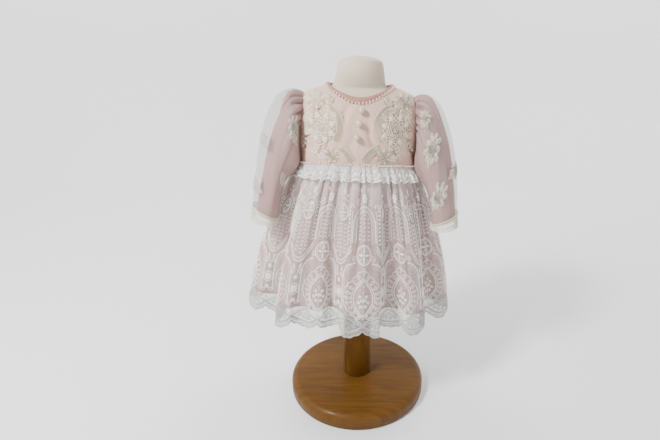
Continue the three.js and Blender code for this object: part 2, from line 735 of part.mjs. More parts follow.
function dressForm() {
  const body = FORM_BODY_HEIGHTS.map((z) => {
    const inset = z > ARMPIT.z ? FORM_SHOULDER_CLEARANCE : FORM_CLEARANCE;
    const level = z + FORM_SHOULDER_DROP;
    return {
      z,
      half: tableValue(TORSO, 'half', level) - inset,
      front: torsoDepth(level, -1) - inset,
      back: torsoDepth(level, 1) - inset,
    };
  });
  const rings = [...FORM_RINGS, ...body, ...FORM_NECK];
  const points = [new THREE.Vector3(0, 0, FORM_BOTTOM_Z), new THREE.Vector3(0, 0, FORM_NECK.at(-1).z + 1)];
  const triangles = [];
  const index = rings.map((ring) => ringOf(FORM_SIDES, (angle) => {
    const cosine = Math.cos(angle);
    const depth = cosine > 0 ? ring.front : ring.back;
    return points.push(new THREE.Vector3(ring.half * Math.sin(angle), -depth * cosine, ring.z)) - 1;
  }));
  for (let j = 0; j < FORM_SIDES; j += 1) {
    const next = (j + 1) % FORM_SIDES;
    triangles.push(0, index[0][next], index[0][j], 1, index.at(-1)[j], index.at(-1)[next]);
    for (let i = 0; i < index.length - 1; i += 1) {
      const [low, high] = [index[i], index[i + 1]];
      triangles.push(low[j], low[next], high[next], low[j], high[next], high[j]);
    }
  }
  return closedGeometry(points, triangles);
}

// A turned disc with a round upper edge and a small ease below.
function standBase() {
  const ease = 3;
  const profile = [
    new THREE.Vector2(0, 0),
    new THREE.Vector2(BASE_RADIUS - ease, 0),
    new THREE.Vector2(BASE_RADIUS, ease),
  ];
  const arcSteps = 4;
  for (let i = 0; i <= arcSteps; i += 1) {
    const angle = (i / arcSteps) * (Math.PI / 2);
    profile.push(new THREE.Vector2(
      BASE_RADIUS - BASE_EDGE_RADIUS * (1 - Math.cos(angle)),
      BASE_HEIGHT - BASE_EDGE_RADIUS * (1 - Math.sin(angle))));
  }
  profile.push(new THREE.Vector2(0, BASE_HEIGHT));
  return new THREE.LatheGeometry(profile, STAND_SIDES).rotateX(Math.PI / 2);
}

function standPost() {
  const lean = POST_RADIUS * Math.tan(radians(LEAN_DEG));
  const top = FORM_BOTTOM_Z - lean - SEAM_GAP;
  const bottom = BASE_HEIGHT + SEAM_GAP;
  return new THREE.CylinderGeometry(POST_RADIUS, POST_RADIUS, top - bottom, STAND_SIDES / 2)
    .rotateX(Math.PI / 2).translate(0, 0, (top + bottom) / 2);
}

function gown() {
  const group = new THREE.Group();
  const add = (name, geometry, look) => group.add(solid(name, geometry, look));
  add('bodice_front', bodiceFront(), COLOURS.pinkCloth);
  add('bodice_back_left', bodiceBack(1), COLOURS.pinkCloth);
  add('bodice_back_right', bodiceBack(-1), COLOURS.pinkCloth);
  add('neck_band', neckBand(), COLOURS.satinBand);
  PEARLS.forEach((row, i) => add(`pearl_button_${i + 1}`, pearlButton(row), COLOURS.pearl));
  [['left', 1], ['right', -1]].forEach(([name, side]) => {
    add(`sleeve_${name}`, sleeve(side), COLOURS.pinkSilk);
    add(`cuff_lace_${name}`, cuffLace(side), COLOURS.ivoryLace);
    add(`lace_border_${name}`, laceBorder(side), COLOURS.ivoryLace);
    BODICE_MOTIFS.forEach((row) => {
      add(`motif_${row.name}_${name}`, bodiceMotif(row, side), COLOURS.ivoryLace);
    });
  });
  SLEEVE_MOTIFS.forEach((row) => add(`motif_sleeve_${row.name}`, sleeveMotif(row), COLOURS.ivoryLace));
  add('waist_lace_trim', waistTrim(), COLOURS.whiteLace);
  [['front', 0, 0.5], ['back', 0.5, 1]].forEach(([name, from, to]) => {
    add(`skirt_lace_${name}`, skirtLace(from, to), COLOURS.whiteLace);
    add(`skirt_lining_${name}`, skirtLining(from, to), COLOURS.pinkSilk);
  });
  return group;
}

// The form and the gown lean together about a point at the waist.
function dressedForm() {
  const pivot = new THREE.Group();
  pivot.position.z = LEAN_PIVOT_Z;
  pivot.rotation.y = radians(LEAN_DEG);
  const placed = new THREE.Group();
  placed.position.z = -LEAN_PIVOT_Z;
  placed.add(solid('dress_form', dressForm(), COLOURS.jersey), gown());
  pivot.add(placed);
  return pivot;
}

const part = new THREE.Group();
part.add(
  solid('stand_base', standBase(), COLOURS.wood),
  solid('stand_post', standPost(), COLOURS.wood),
  dressedForm(),
);

export default part;
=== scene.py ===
"""Looks of a baby's christening gown on its dress form and stand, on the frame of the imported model."""
import math

import bpy
import numpy as np
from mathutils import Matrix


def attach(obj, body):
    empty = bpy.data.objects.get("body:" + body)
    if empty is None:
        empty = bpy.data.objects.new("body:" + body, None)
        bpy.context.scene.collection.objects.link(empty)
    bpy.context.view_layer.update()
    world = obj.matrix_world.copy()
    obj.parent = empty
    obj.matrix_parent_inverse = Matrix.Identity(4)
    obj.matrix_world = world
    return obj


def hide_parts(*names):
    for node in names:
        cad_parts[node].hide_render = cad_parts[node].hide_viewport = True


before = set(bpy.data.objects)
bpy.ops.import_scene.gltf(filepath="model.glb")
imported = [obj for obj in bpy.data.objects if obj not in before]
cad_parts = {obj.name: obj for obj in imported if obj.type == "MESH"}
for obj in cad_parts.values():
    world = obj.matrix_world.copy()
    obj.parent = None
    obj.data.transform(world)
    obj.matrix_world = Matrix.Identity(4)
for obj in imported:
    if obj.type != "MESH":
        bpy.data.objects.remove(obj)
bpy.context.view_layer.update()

MM = 0.001
TURN = 2 * math.pi
SIDES = (("left", 1), ("right", -1))

# Sizes shared with the solids, in millimetres
SEAM_GAP = 0.3
LEAN_DEG = 2.2
LEAN_PIVOT_Z = 490.0
TORSO = {
    "z": [440, 470, 500, 532, 556, 576, 590, 600, 609, 617, 624],
    "half": [106, 106, 106, 106, 105.5, 103, 98.8, 94, 75, 52, 26],
    "front": [76, 76.5, 77, 75, 70, 62.5, 55, 47.5, 36, 23, 10],
    "back": [66, 66, 67, 68, 68, 65, 58, 50, 38, 25, 11],
}
WAIST = {"half": 106.0, "front": 76.5, "back": 66.0, "side_z": 477.0, "rise": 14.0}
NECK = {"half": 52.0, "front": 50.0, "back": 38.0}
SHOULDER_TIP = {"x": 94.0, "z": 600.0}
ARMPIT = {"x": 106.0, "z": 512.0}
ARMHOLE_BOW = 2.2
CUFF = {"x": 156.0, "y": -64.0, "z": 387.0, "half": 21.0, "depth": 19.0, "rise": 3.0}
HEAD_PULL = {"out": 36, "out_top": 20, "out_front": -26, "forward": -20, "round": -20, "up": -3, "up_top": 18}
CUFF_PULL = {"inward": -5, "inward_top": 2, "inward_front": -10, "back": 8, "up": 74, "up_top": 31}
HEM = {"half": 185.0, "front": 115.0, "back": 112.0, "z": 199.0, "drop": 8.0, "slope": -0.025, "sway": -5.0}
SKIRT_BELL = 1.75
FOLD_RAMP = 0.85
FOLD_ROLL = 0.75
# Folds round the hem: angle and height of a ridge, angle and depth of the valley after it, and breadth
FOLDS = [
    (-77, 15, -50, -25, 1.35),
    (-38, 14, -27, -5, 1.2),
    (-18, 4, -11, -20, 1.2),
    (7, 17, 25, -25, 2.5),
    (39, 14, 57, -22, 1.5),
    (80, 13, 99, -16, 1.35),
    (118, 12, 136, -20, 1.4),
    (152, 14, 167, -18, 1.3),
    (183, 13, 198, -20, 1.5),
    (215, 14, 231, -18, 1.3),
    (247, 13, 263, -14, 1.4),
]
HEM_AXIS_DEG = 7.0
REPEATS = 12
HEM_POINT_DROP = 14.0
HEM_SCALLOPS = 96
HEM_SCALLOP_DROP = 3.6
LINING_END = 0.86
PEARLS = [(4, 577), (1, 558), (-2, 537)]
PEARL_RADIUS = 5.3

# Gathers below a seam: how many, how deep in mm, and the shares of the length where they peak and end
WAIST_GATHERS = {"waves": 30, "depth": 1.8, "peak": 0.05, "end": 0.4}
HEAD_GATHERS = {"waves": 16, "depth": 2.2, "peak": 0.1, "end": 0.42}


# Maths helpers

def column(table, key, at):
    """One column of a table on a smooth curve that doesn't overshoot its rows."""
    xs = np.array(table["z"], float)
    ys = np.array(table[key], float)
    slopes = np.diff(ys) / np.diff(xs)
    before, after = slopes[:-1], slopes[1:]
    same = before * after > 0
    total = np.where(same, before + after, 1.0)
    inner = np.where(same, 2 * before * after / total, 0.0)
    tangents = np.concatenate([slopes[:1], inner, slopes[-1:]])
    at = np.asarray(at, float)
    i = np.clip(np.searchsorted(xs, at) - 1, 0, len(xs) - 2)
    span = xs[i + 1] - xs[i]
    t = np.clip((at - xs[i]) / span, 0, 1)
    t2, t3 = t * t, t * t * t
    return ((2 * t3 - 3 * t2 + 1) * ys[i] + (t3 - 2 * t2 + t) * span * tangents[i]
            + (3 * t2 - 2 * t3) * ys[i + 1] + (t3 - t2) * span * tangents[i + 1])


def as_arrays(*values):
    return np.broadcast_arrays(*[np.asarray(value, float) for value in values])


def lerp(a, b, t):
    return a + (b - a) * t


def ramp(values, start, slope):
    """Rises from 0 at the start to 1, and stays there."""
    return np.clip((values - start) * slope, 0, 1)


def unit(vectors):
    length = np.linalg.norm(vectors, axis=-1, keepdims=True)
    return vectors / np.maximum(length, 1e-9)


def cos_sin(deg):
    return math.cos(math.radians(deg)), math.sin(math.radians(deg))


def polar(cx, cz, reach, deg):
    """The point at a reach and an angle from a centre."""
    c, s = cos_sin(deg)
    return cx + reach * c, cz + reach * s


def round_angles(count):
    return np.arange(count) / count * TURN


def path_lengths(points):
    """Distance along a path to each of its points."""
    steps = np.linalg.norm(np.diff(points, axis=0), axis=-1)
    return np.concatenate([[0.0], np.cumsum(steps)])


def flat_map(across, up):
    """Flat coordinates, one row for each corner of a grid."""
    return np.stack(np.broadcast_arrays(across, up), -1).reshape(-1, 2)


def lean(points):
    """Turns points of the dressed form about the waist, as the solids are."""
    x, y, z = points[..., 0], points[..., 1], points[..., 2] - LEAN_PIVOT_Z
    c, s = cos_sin(LEAN_DEG)
    return np.stack([x * c + z * s, y, LEAN_PIVOT_Z - x * s + z * c], axis=-1)


def ripple(a, b, seed):
    """Soft uneven noise from a few crossed waves, about -1 to 1."""
    rng = np.random.default_rng(seed)
    total = 0.0
    for _ in range(5):
        ka, kb = rng.uniform(-1, 1, 2)
        total = total + np.sin(a * ka + b * kb + rng.uniform(0, 6.28))
    return total / 3.0


def surface_steps(surface, around, along, step):
    """Short steps round a surface and along it."""
    low, high = np.clip(along - step, 0, 1), np.clip(along + step, 0, 1)
    turned = surface(around + step, along) - surface(around - step, along)
    return turned, surface(around, high) - surface(around, low)


def gather_depth(gathers, along):
    """Depth of the gathers along the cloth: it grows to their peak and fades to their end."""
    grow = np.minimum(1, along / gathers["peak"])
    fade = np.maximum(0, 1 - along / gathers["end"])
    return gathers["depth"] * grow * fade


def bump_at(a, b, row):
    """One crease of a table: a long soft ridge or trough in a surface's two coordinates."""
    a0, b0, turn, long, wide, height = row
    c, s = cos_sin(turn)
    along = (a - a0) * c + (b - b0) * s
    across = -(a - a0) * s + (b - b0) * c
    bend = across + 0.12 * along * along / long
    return height * np.exp(-(along / long) ** 2 - (bend / wide) ** 2)


# Bodice surface

def torso_depth(z, facing):
    return np.where(facing < 0, column(TORSO, "front", z), column(TORSO, "back", z))


def torso_level(x, y, z, facing):
    """Below 1 inside the bodice and above 1 outside it."""
    return (x / column(TORSO, "half", z)) ** 2 + (y / torso_depth(z, facing)) ** 2


def torso_point(x, z, facing):
    half = column(TORSO, "half", z)
    share = np.sqrt(np.maximum(0, 1 - (x / half) ** 2))
    y = facing * np.maximum(torso_depth(z, facing) * share, SEAM_GAP / 2)
    return np.stack(np.broadcast_arrays(x, y, z), axis=-1).astype(float)


def torso_normal(p, facing):
    x, y, z = p[..., 0], p[..., 1], p[..., 2]
    half, depth = column(TORSO, "half", z), torso_depth(z, facing)
    rise = torso_level(x, y, z + 0.5, facing) - torso_level(x, y, z - 0.5, facing)
    return unit(np.stack([2 * x / half ** 2, 2 * y / depth ** 2, rise], axis=-1))


def torso_offset(x, z, facing, out):
    x, z, out = as_arrays(x, z, out)
    facing = np.broadcast_to(np.asarray(facing, float), x.shape)
    p = torso_point(x, z, facing)
    return p + torso_normal(p, facing) * out[..., None]


def torso_height(x, y):
    """Height of the bodice above a point of the plan."""
    facing = np.where(y < 0, -1.0, 1.0)
    low = np.full(np.shape(x), LEAN_PIVOT_Z)
    high = np.full(np.shape(x), float(TORSO["z"][-1]))
    for _ in range(40):
        z = (low + high) / 2
        outside = torso_level(x, y, z, facing) > 1
        high = np.where(outside, z, high)
        low = np.where(outside, low, z)
    return low


def front_surface(x, z, out):
    return lean(torso_offset(x, z, -1.0, out))


def waist_height(sine, facing):
    cosine = np.sqrt(np.maximum(0, 1 - sine * sine))
    return WAIST["side_z"] + np.where(facing < 0, WAIST["rise"] * cosine, 0.0)


def armhole_x(z):
    drop = np.clip((SHOULDER_TIP["z"] - z) / (SHOULDER_TIP["z"] - ARMPIT["z"]), 0, 1)
    return SHOULDER_TIP["x"] + (ARMPIT["x"] - SHOULDER_TIP["x"]) * drop ** ARMHOLE_BOW


def bodice_outline(facing):
    """Upper outline of half a panel: x, z and the share of the waist below, from centre to side."""
    depth = NECK["front"] if facing < 0 else NECK["back"]
    angle = np.linspace(0, math.pi / 2, 31)
    neck_x = NECK["half"] * np.sin(angle)
    neck_z = torso_height(neck_x, facing * depth * np.cos(angle))
    shoulder_x = np.linspace(NECK["half"], SHOULDER_TIP["x"], 19)[1:]
    shoulder_z = torso_height(shoulder_x, np.zeros_like(shoulder_x))
    armhole_z = np.linspace(SHOULDER_TIP["z"], ARMPIT["z"], 31)[1:]
    x = np.concatenate([neck_x, shoulder_x, armhole_x(armhole_z)])
    z = np.concatenate([neck_z, shoulder_z, armhole_z])
    shares = [np.linspace(0, 0.42, 31), np.linspace(0.42, 0.7, 19)[1:], np.linspace(0.7, 1, 31)[1:]]
    return x, z, np.concatenate(shares)


# Sleeve surface

# Creases of a sleeve: place round (radians) and along, turn, length, width (radians), height in mm
SLEEVE_CREASES = [
    (1.15, 0.12, 78, 0.30, 0.10, 1.6),
    (1.75, 0.16, 66, 0.34, 0.11, -1.8),
    (0.55, 0.22, 84, 0.36, 0.12, -1.5),
    (2.30, 0.34, 40, 0.50, 0.10, -1.7),
    (1.30, 0.55, 30, 0.55, 0.11, 1.2),
    (2.00, 0.62, 52, 0.40, 0.10, -1.4),
    (0.80, 0.74, 70, 0.30, 0.14, -1.2),
    (3.90, 0.40, 60, 0.45, 0.14, -1.5),
    (4.80, 0.55, 45, 0.50, 0.15, 1.3),
    (5.60, 0.30, 80, 0.40, 0.13, -1.3),
]
# Sharp puckers at the head: how many, how high in mm, where they are highest and how far they reach
HEAD_PUCKERS = {"count": 13, "height": 10.0, "around": 1.15, "spread": 0.8, "reach": 0.19}
# Fullness of the inner side: its middle and spread, then each side's height in mm and reach downward
INNER_MIDDLE = {"around": 2.6, "spread": 0.8, "along": 0.32, "reach_up": 0.22}
INNER_FULLNESS = {1: (17.0, 0.2), -1: (18.0, 0.15)}


def sleeve_point(around, along):
    around, along = as_arrays(around, along)
    c, s = np.cos(around), np.sin(around)
    facing = np.where(s > 0, -1.0, 1.0)
    z = lerp(ARMPIT["z"], SHOULDER_TIP["z"], (1 + c) / 2)
    x = armhole_x(z)
    half = column(TORSO, "half", z)
    y = facing * torso_depth(z, facing) * np.sqrt(np.maximum(0, 1 - (x / half) ** 2))
    start = np.stack([x + 1.1, y, z], axis=-1)
    front = np.maximum(0, s) ** 2
    p, e = HEAD_PULL, CUFF_PULL
    head = start + np.stack([p["out"] + p["out_top"] * c + p["out_front"] * front,
                             p["forward"] + p["round"] * s, p["up"] + p["up_top"] * c], axis=-1)
    end = np.stack([CUFF["x"] + CUFF["half"] * c, CUFF["y"] - CUFF["depth"] * s,
                    CUFF["z"] + CUFF["rise"] * (c - s)], axis=-1)
    wrist = end + np.stack([e["inward"] + e["inward_top"] * c + e["inward_front"] * front,
                            np.full_like(c, e["back"]), e["up"] + e["up_top"] * c], axis=-1)
    t = along[..., None]
    u = 1 - t
    return u ** 3 * start + 3 * u * u * t * head + 3 * u * t * t * wrist + t ** 3 * end


def sleeve_normal(around, along):
    turned, down = surface_steps(sleeve_point, around, along, 0.01)
    return unit(np.cross(turned, down))


def head_gather(around, along):
    """Round puffs between the gathers of the sleeve head."""
    upper = np.maximum(0, 0.35 + 0.65 * np.cos(around))
    puffs = np.abs(np.cos(HEAD_GATHERS["waves"] * around / 2 + 0.6 * np.sin(2 * around))) ** 0.8
    return 2 * gather_depth(HEAD_GATHERS, along) * upper * puffs


def head_pucker(around, along):
    """Uneven sharp puckers that fan out from the armhole seam, highest in front."""
    p = HEAD_PUCKERS
    phase = p["count"] * around + 1.6 * np.sin(3 * around) + 5 * along
    front = 0.4 + 0.6 * np.exp(-((np.mod(around, TURN) - p["around"]) / p["spread"]) ** 2)
    grow = ramp(along, 0, 40) * np.exp(-((along / p["reach"]) ** 2))
    return p["height"] * front * grow * (np.abs(np.sin(phase)) ** 0.6 - 0.7)


def inner_fullness(side, around, along):
    m = INNER_MIDDLE
    height, reach_down = INNER_FULLNESS[side]
    turned = np.mod(around, TURN) - m["around"]
    reach = np.where(along > m["along"], reach_down, m["reach_up"])
    return height * np.exp(-((turned / m["spread"]) ** 2) - ((along - m["along"]) / reach) ** 2)


def sleeve_surface(side):
    def surface(around, along, out):
        around, along, out = as_arrays(around, along, out)
        crease = sum(bump_at(np.mod(around, TURN), along, row) for row in SLEEVE_CREASES)
        crease = crease * ramp(along, 0, 12) * ramp(-along, -0.98, 10)
        lift = out + head_gather(around, along) + crease + head_pucker(around, along)
        lift = lift + inner_fullness(side, around, along)
        p = sleeve_point(around, along) + sleeve_normal(around, along) * lift[..., None]
        return lean(p * np.array([side, 1, 1]))
    return surface


# Skirt surface

SKIRT_LENGTH = 296.0
# Small creases between the folds: height of the soft ones, then number, height and reach of the pleats
SKIRT_CREASES = {"soft": 2.0, "pleats": 27, "pleat": 3.6, "reach": 0.6}


def fold_at(angle):
    """Fold offset in mm and sideways roll in radians, at full depth."""
    ridges, heights, valleys, depths, breadths = np.array(FOLDS, float).T
    deg = ridges[0] + np.mod(np.degrees(angle) - ridges[0], 360)
    edges = np.append(ridges, ridges[0] + 360)
    i = np.clip(np.searchsorted(edges, deg, side="right") - 1, 0, len(FOLDS) - 1)
    before = deg <= valleys[i]
    near = np.where(before, i, (i + 1) % len(FOLDS))
    near_deg = np.where(before, edges[i], edges[i + 1])
    span = valleys[i] - near_deg
    share = np.clip((deg - near_deg) / span, 0, 1)
    fall = (1 - np.cos(np.pi * share ** breadths[near])) / 2
    return lerp(heights[near], depths[i], fall), np.radians(span) * np.sin(TURN * share) / TURN


def skirt_base(angle, down):
    angle, down = as_arrays(angle, down)
    bell = 1 - np.maximum(0, 1 - down) ** SKIRT_BELL
    out, roll = fold_at(angle)
    grow = np.maximum(down, 0) ** FOLD_RAMP
    turned = angle + roll * FOLD_ROLL * grow
    s, c = np.sin(turned), np.cos(turned)
    half = lerp(WAIST["half"], HEM["half"], bell) + out * grow
    waist = np.where(c > 0, WAIST["front"], WAIST["back"])
    hem = np.where(c > 0, HEM["front"], HEM["back"])
    depth = lerp(waist, hem, bell) + out * grow
    top = waist_height(np.sin(angle), np.where(np.cos(angle) > 0, -1.0, 1.0)) - SEAM_GAP
    level = HEM["z"] + HEM["slope"] * HEM["half"] * np.sin(angle)
    bottom = level - HEM["drop"] * np.sin(2 * angle) ** 2
    return np.stack([half * s + HEM["sway"] * bell, -depth * c, lerp(top, bottom, down)], axis=-1)


# The cloth is measured along the folded hem from the wearer's right side, round the front and then the back
CLOTH_ANGLES = -math.pi / 2 + np.linspace(0, TURN, 1441)
CLOTH_LENGTHS = path_lengths(skirt_base(CLOTH_ANGLES, 1.0))
FRONT_LENGTH = CLOTH_LENGTHS[len(CLOTH_LENGTHS) // 2]
HEM_LENGTH = CLOTH_LENGTHS[-1]
REPEAT = HEM_LENGTH / REPEATS
HEM_AXIS = np.interp(math.radians(HEM_AXIS_DEG), CLOTH_ANGLES, CLOTH_LENGTHS) / FRONT_LENGTH / 2


def cloth_angle(cloth):
    """Angle of a cloth coordinate: 0 to 0.5 round the front, 0.5 to 1 round the back."""
    cloth = np.mod(cloth, 1.0)
    front = cloth * 2 * FRONT_LENGTH
    back = FRONT_LENGTH + (cloth * 2 - 1) * (HEM_LENGTH - FRONT_LENGTH)
    return np.interp(np.where(cloth <= 0.5, front, back), CLOTH_LENGTHS, CLOTH_ANGLES)


def skirt_normal(angle, down):
    turned, fall = surface_steps(skirt_base, angle, down, 0.004)
    return unit(np.cross(fall, turned))


def waist_gather(cloth, down):
    wave = np.cos(TURN * (WAIST_GATHERS["waves"] * cloth + 0.12 * np.sin(TURN * 7 * cloth)))
    return gather_depth(WAIST_GATHERS, down) * (1 + wave) / 2


def skirt_ripple(cloth, down):
    """Small uneven creases that run down the cloth between the main folds."""
    k = SKIRT_CREASES
    soft = ripple(cloth * 210, down * 2.4, 5) + 0.6 * ripple(cloth * 420, down * 3.6, 8)
    turn = k["pleats"] * cloth + 0.7 * np.sin(TURN * 5 * cloth) + 0.45 * np.sin(TURN * 11 * cloth + 1)
    phase = TURN * turn
    pleat = np.sin(phase + 0.8 * down) + 0.3 * np.sin(2 * phase + 1.3)
    fall = ramp(down, 0, 14) * np.exp(-((down / k["reach"]) ** 2))
    return k["soft"] * soft * ramp(down, 0, 3) + k["pleat"] * pleat * fall


def skirt_at(cloth, down, out):
    cloth, down, out = as_arrays(cloth, down, out)
    angle = cloth_angle(cloth)
    near = np.clip(down, 0, 1)
    lift = out + waist_gather(cloth, near) + skirt_ripple(cloth, near)
    return lean(skirt_base(angle, down) + skirt_normal(angle, near) * lift[..., None])


def hem_rise(cloth):
    from_axis = cloth - HEM_AXIS
    point = np.abs(np.sin(np.pi * REPEATS * 2 * from_axis))
    scallop = np.abs(np.sin(np.pi * HEM_SCALLOPS * from_axis))
    return HEM_POINT_DROP * (1 - point) + HEM_SCALLOP_DROP * (1 - scallop)


def lace_surface(x, q, out):
    """Flat lace: x mm round the cloth from the middle motif's axis, q mm up from the hem's lowest line."""
    x, q = as_arrays(x, q)
    return skirt_at(HEM_AXIS + x / HEM_LENGTH, 1 - q / SKIRT_LENGTH, out)


# Mesh helpers

def add_mesh(name, points, faces, uv=None):
    mesh = bpy.data.meshes.new(name)
    if not isinstance(faces, list):
        faces = faces.tolist()
    mesh.from_pydata((points * MM).tolist(), [], faces)
    if uv is not None:
        layer = mesh.uv_layers.new(name="flat")
        index = np.empty(len(mesh.loops), np.int32)
        mesh.loops.foreach_get("vertex_index", index)
        layer.data.foreach_set("uv", np.asarray(uv, np.float32)[index].ravel())
    mesh.polygons.foreach_set("use_smooth", np.full(len(mesh.polygons), True))
    mesh.update()
    obj = bpy.data.objects.new(name, mesh)
    bpy.context.collection.objects.link(obj)
    return obj


def grid_faces(rows, cols, wrap=False, start=0):
    j = np.arange(cols if wrap else cols - 1)
    i = np.arange(rows - 1)[:, None]
    a = start + i * cols + j
    b = start + i * cols + (j + 1) % cols
    return np.stack([a, b, b + cols, a + cols], axis=-1).reshape(-1, 4)


def add_grid(name, points, wrap=True, uv=None):
    """A mesh over rows of points, closed round where the rows wrap."""
    rows, cols = points.shape[:2]
    return add_mesh(name, points.reshape(-1, 3), grid_faces(rows, cols, wrap), uv)


def place(obj, material, nodes):
    obj.data.materials.append(material)
    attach(obj, "root")
    if nodes:
        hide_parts(*nodes)
    return obj


class Thread:
    """Gathers raised stitches in a surface's flat coordinates."""

    def __init__(self, surface, base, scale=(1, 1)):
        self.surface, self.base, self.scale = surface, base, scale
        self.points, self.heights, self.faces, self.count = [], [], [], 0

    def add(self, flat, heights, faces):
        self.points.append(flat)
        self.heights.append(heights)
        self.faces.append(faces + self.count)
        self.count += len(flat)

    def cord(self, path, width, height, closed=False):
        """A stitched line along a flat path, crowned across its width."""
        n = len(path)
        if closed:
            ahead, behind = np.roll(path, -1, 0), np.roll(path, 1, 0)
        else:
            ahead, behind = np.vstack([path[1:], path[-1:]]), np.vstack([path[:1], path[:-1]])
        run = unit(ahead - behind)
        side = np.stack([-run[:, 1], run[:, 0]], axis=-1) * width / 2
        heights = np.concatenate([np.zeros(n), np.full(n, height), np.zeros(n)])
        j = np.arange(n if closed else n - 1)
        k = (j + 1) % n
        quads = [np.stack([r * n + j, r * n + k, (r + 1) * n + k, (r + 1) * n + j], -1) for r in (0, 1)]
        self.add(np.concatenate([path - side, path, path + side]), heights, np.concatenate(quads))

    def dome(self, centre, outline, inner, levels):
        """An outline and a ring within it, round a raised middle, at three levels."""
        n = len(outline)
        j = np.arange(n)
        k = (j + 1) % n
        middle = np.full(n, 2 * n)
        side = np.stack([j, k, n + k, n + j], -1)
        cap = np.stack([n + j, n + k, middle, middle], -1)
        edge, shoulder, top = levels
        heights = np.concatenate([np.full(n, edge), np.full(n, shoulder), [top]])
        self.add(np.concatenate([outline, inner, centre[None]]), heights, np.concatenate([side, cap]))

    def fill(self, centre, outline, height):
        """A padded shape."""
        centre = np.asarray(centre, float)
        inner = centre + (outline - centre) * 0.55
        self.dome(centre, outline, inner, (0, height * 0.85, height))

    def dot(self, x, z, radius, height):
        """A small bead or knot, round and high."""
        angle = round_angles(7)
        centre = np.array([x, z], float)
        spokes = np.stack([np.cos(angle), np.sin(angle)], -1) * radius
        self.dome(centre, centre + spokes, centre + spokes * 0.68, (height * 0.15, height * 0.78, height))


def build_threads(name, threads):
    """Joins the stitches of the threads in one mesh."""
    points, flats, faces, count = [], [], [], 0
    for thread in threads:
        flat = np.concatenate(thread.points)
        heights = np.concatenate(thread.heights) + thread.base
        points.append(thread.surface(flat[:, 0] * thread.scale[0], flat[:, 1] * thread.scale[1], heights))
        for quad in np.concatenate(thread.faces).tolist():
            faces.append([corner + count for corner in dict.fromkeys(quad)])
        flats.append(flat)
        count += len(flat)
    return add_mesh(name, np.concatenate(points), faces, uv=np.concatenate(flats))


# Stitch drawings in flat millimetres

def arc(cx, cz, rx, rz, start, end, steps=24):
    t = np.radians(np.linspace(start, end, steps + 1))
    return np.stack([cx + rx * np.cos(t), cz + rz * np.sin(t)], -1)


def ring(cx, cz, rx, rz=None, steps=28):
    return arc(cx, cz, rx, rx if rz is None else rz, 0, 360 * (1 - 1 / steps), steps - 1)


def line(x0, z0, x1, z1, step=4.0):
    n = max(2, int(math.hypot(x1 - x0, z1 - z0) / step) + 1)
    t = np.linspace(0, 1, n)[:, None]
    return np.array([x0, z0]) + t * np.array([x1 - x0, z1 - z0])


def spiral(cx, cz, radius, turns, start, hand=1):
    t = np.linspace(0, 1, int(16 * turns) + 1)
    angle = math.radians(start) + hand * TURN * turns * t
    r = radius * (1 - 0.86 * t)
    return np.stack([cx + r * np.cos(angle), cz + r * np.sin(angle)], -1)


def add_leaf(thread, cx, cz, angle, length, width, height=0.8):
    """A padded leaf from its root, with a pointed tip."""
    t = np.linspace(0, 1, 6)
    half = width / 2 * np.sin(np.pi * t ** 0.8)
    along = np.concatenate([t, t[::-1][1:-1]]) * length
    across = np.concatenate([half, -half[::-1][1:-1]])
    c, s = cos_sin(angle)
    outline = np.stack([cx + along * c - across * s, cz + along * s + across * c], -1)
    thread.fill(outline.mean(0), outline, height)


def add_flower(thread, cx, cz, radius, petals, turn, height=0.9):
    for i in range(petals):
        angle = turn + i * 360 / petals
        root = polar(cx, cz, 0.18 * radius, angle)
        add_leaf(thread, *root, angle, radius * 0.85, radius * 3.6 / petals, height)
    thread.dot(cx, cz, radius * 0.2, height * 1.5)


def add_rose(thread, cx, cz, radius, turn):
    """A full rose: a coiled heart inside rings of overlapping petal edges."""
    thread.cord(spiral(cx, cz, radius * 0.36, 1.7, turn), radius * 0.14, 2.0)
    for share, petals, shift in ((0.55, 5, 20), (0.78, 6, 5), (1.0, 7, 30)):
        for i in range(petals):
            middle = turn + shift + i * 360 / petals
            spread = 360 / petals * 0.62
            angle = np.radians(np.linspace(middle - spread, middle + spread, 9))
            bulge = radius * share * (0.84 + 0.2 * np.cos(np.linspace(-1.4, 1.4, 9)))
            path = np.stack([cx + bulge * np.cos(angle), cz + bulge * np.sin(angle)], -1)
            thread.cord(path, radius * 0.14, 1.5 + 0.5 * (1 - share))
    for i in range(14):
        thread.dot(*polar(cx, cz, radius * 0.66, turn + i * 360 / 14), radius * 0.07, 0.9)


def add_cluster(thread, cx, cz, radius, turn, petals):
    """A rose ringed by broad petals, with small loops and knots in the gaps."""
    add_rose(thread, cx, cz, radius * 0.54, turn)
    for i in range(petals):
        angle = turn + 14 + i * 360 / petals
        between = angle + 180 / petals
        add_leaf(thread, *polar(cx, cz, radius * 0.56, angle), angle, radius * 0.5, radius * 0.36, 1.5)
        loop = ring(*polar(cx, cz, radius * 0.74, between), radius * 0.11, steps=10)
        thread.cord(loop, radius * 0.07, 1.2, closed=True)
        thread.dot(*polar(cx, cz, radius * 0.93, between), radius * 0.06, 1.2)


def add_spray(thread, cx, cz, angle, length, pairs, width):
    """A curved stem with pairs of leaves and a bud at its tip."""
    c, s = cos_sin(angle)
    t = np.linspace(0, 1, 9)
    bow = 0.12 * length * np.sin(np.pi * t)
    path = np.stack([cx + length * t * c - bow * s, cz + length * t * s + bow * c], -1)
    thread.cord(path, 0.9, 0.8)
    for i in range(1, pairs + 1):
        x, z = path[int(i / (pairs + 1) * 8)]
        for hand in (-1, 1):
            add_leaf(thread, x, z, angle + hand * 52, width * (1.15 - 0.25 * i / pairs), width * 0.5)
    add_leaf(thread, *path[-1], angle, width, width * 0.55)


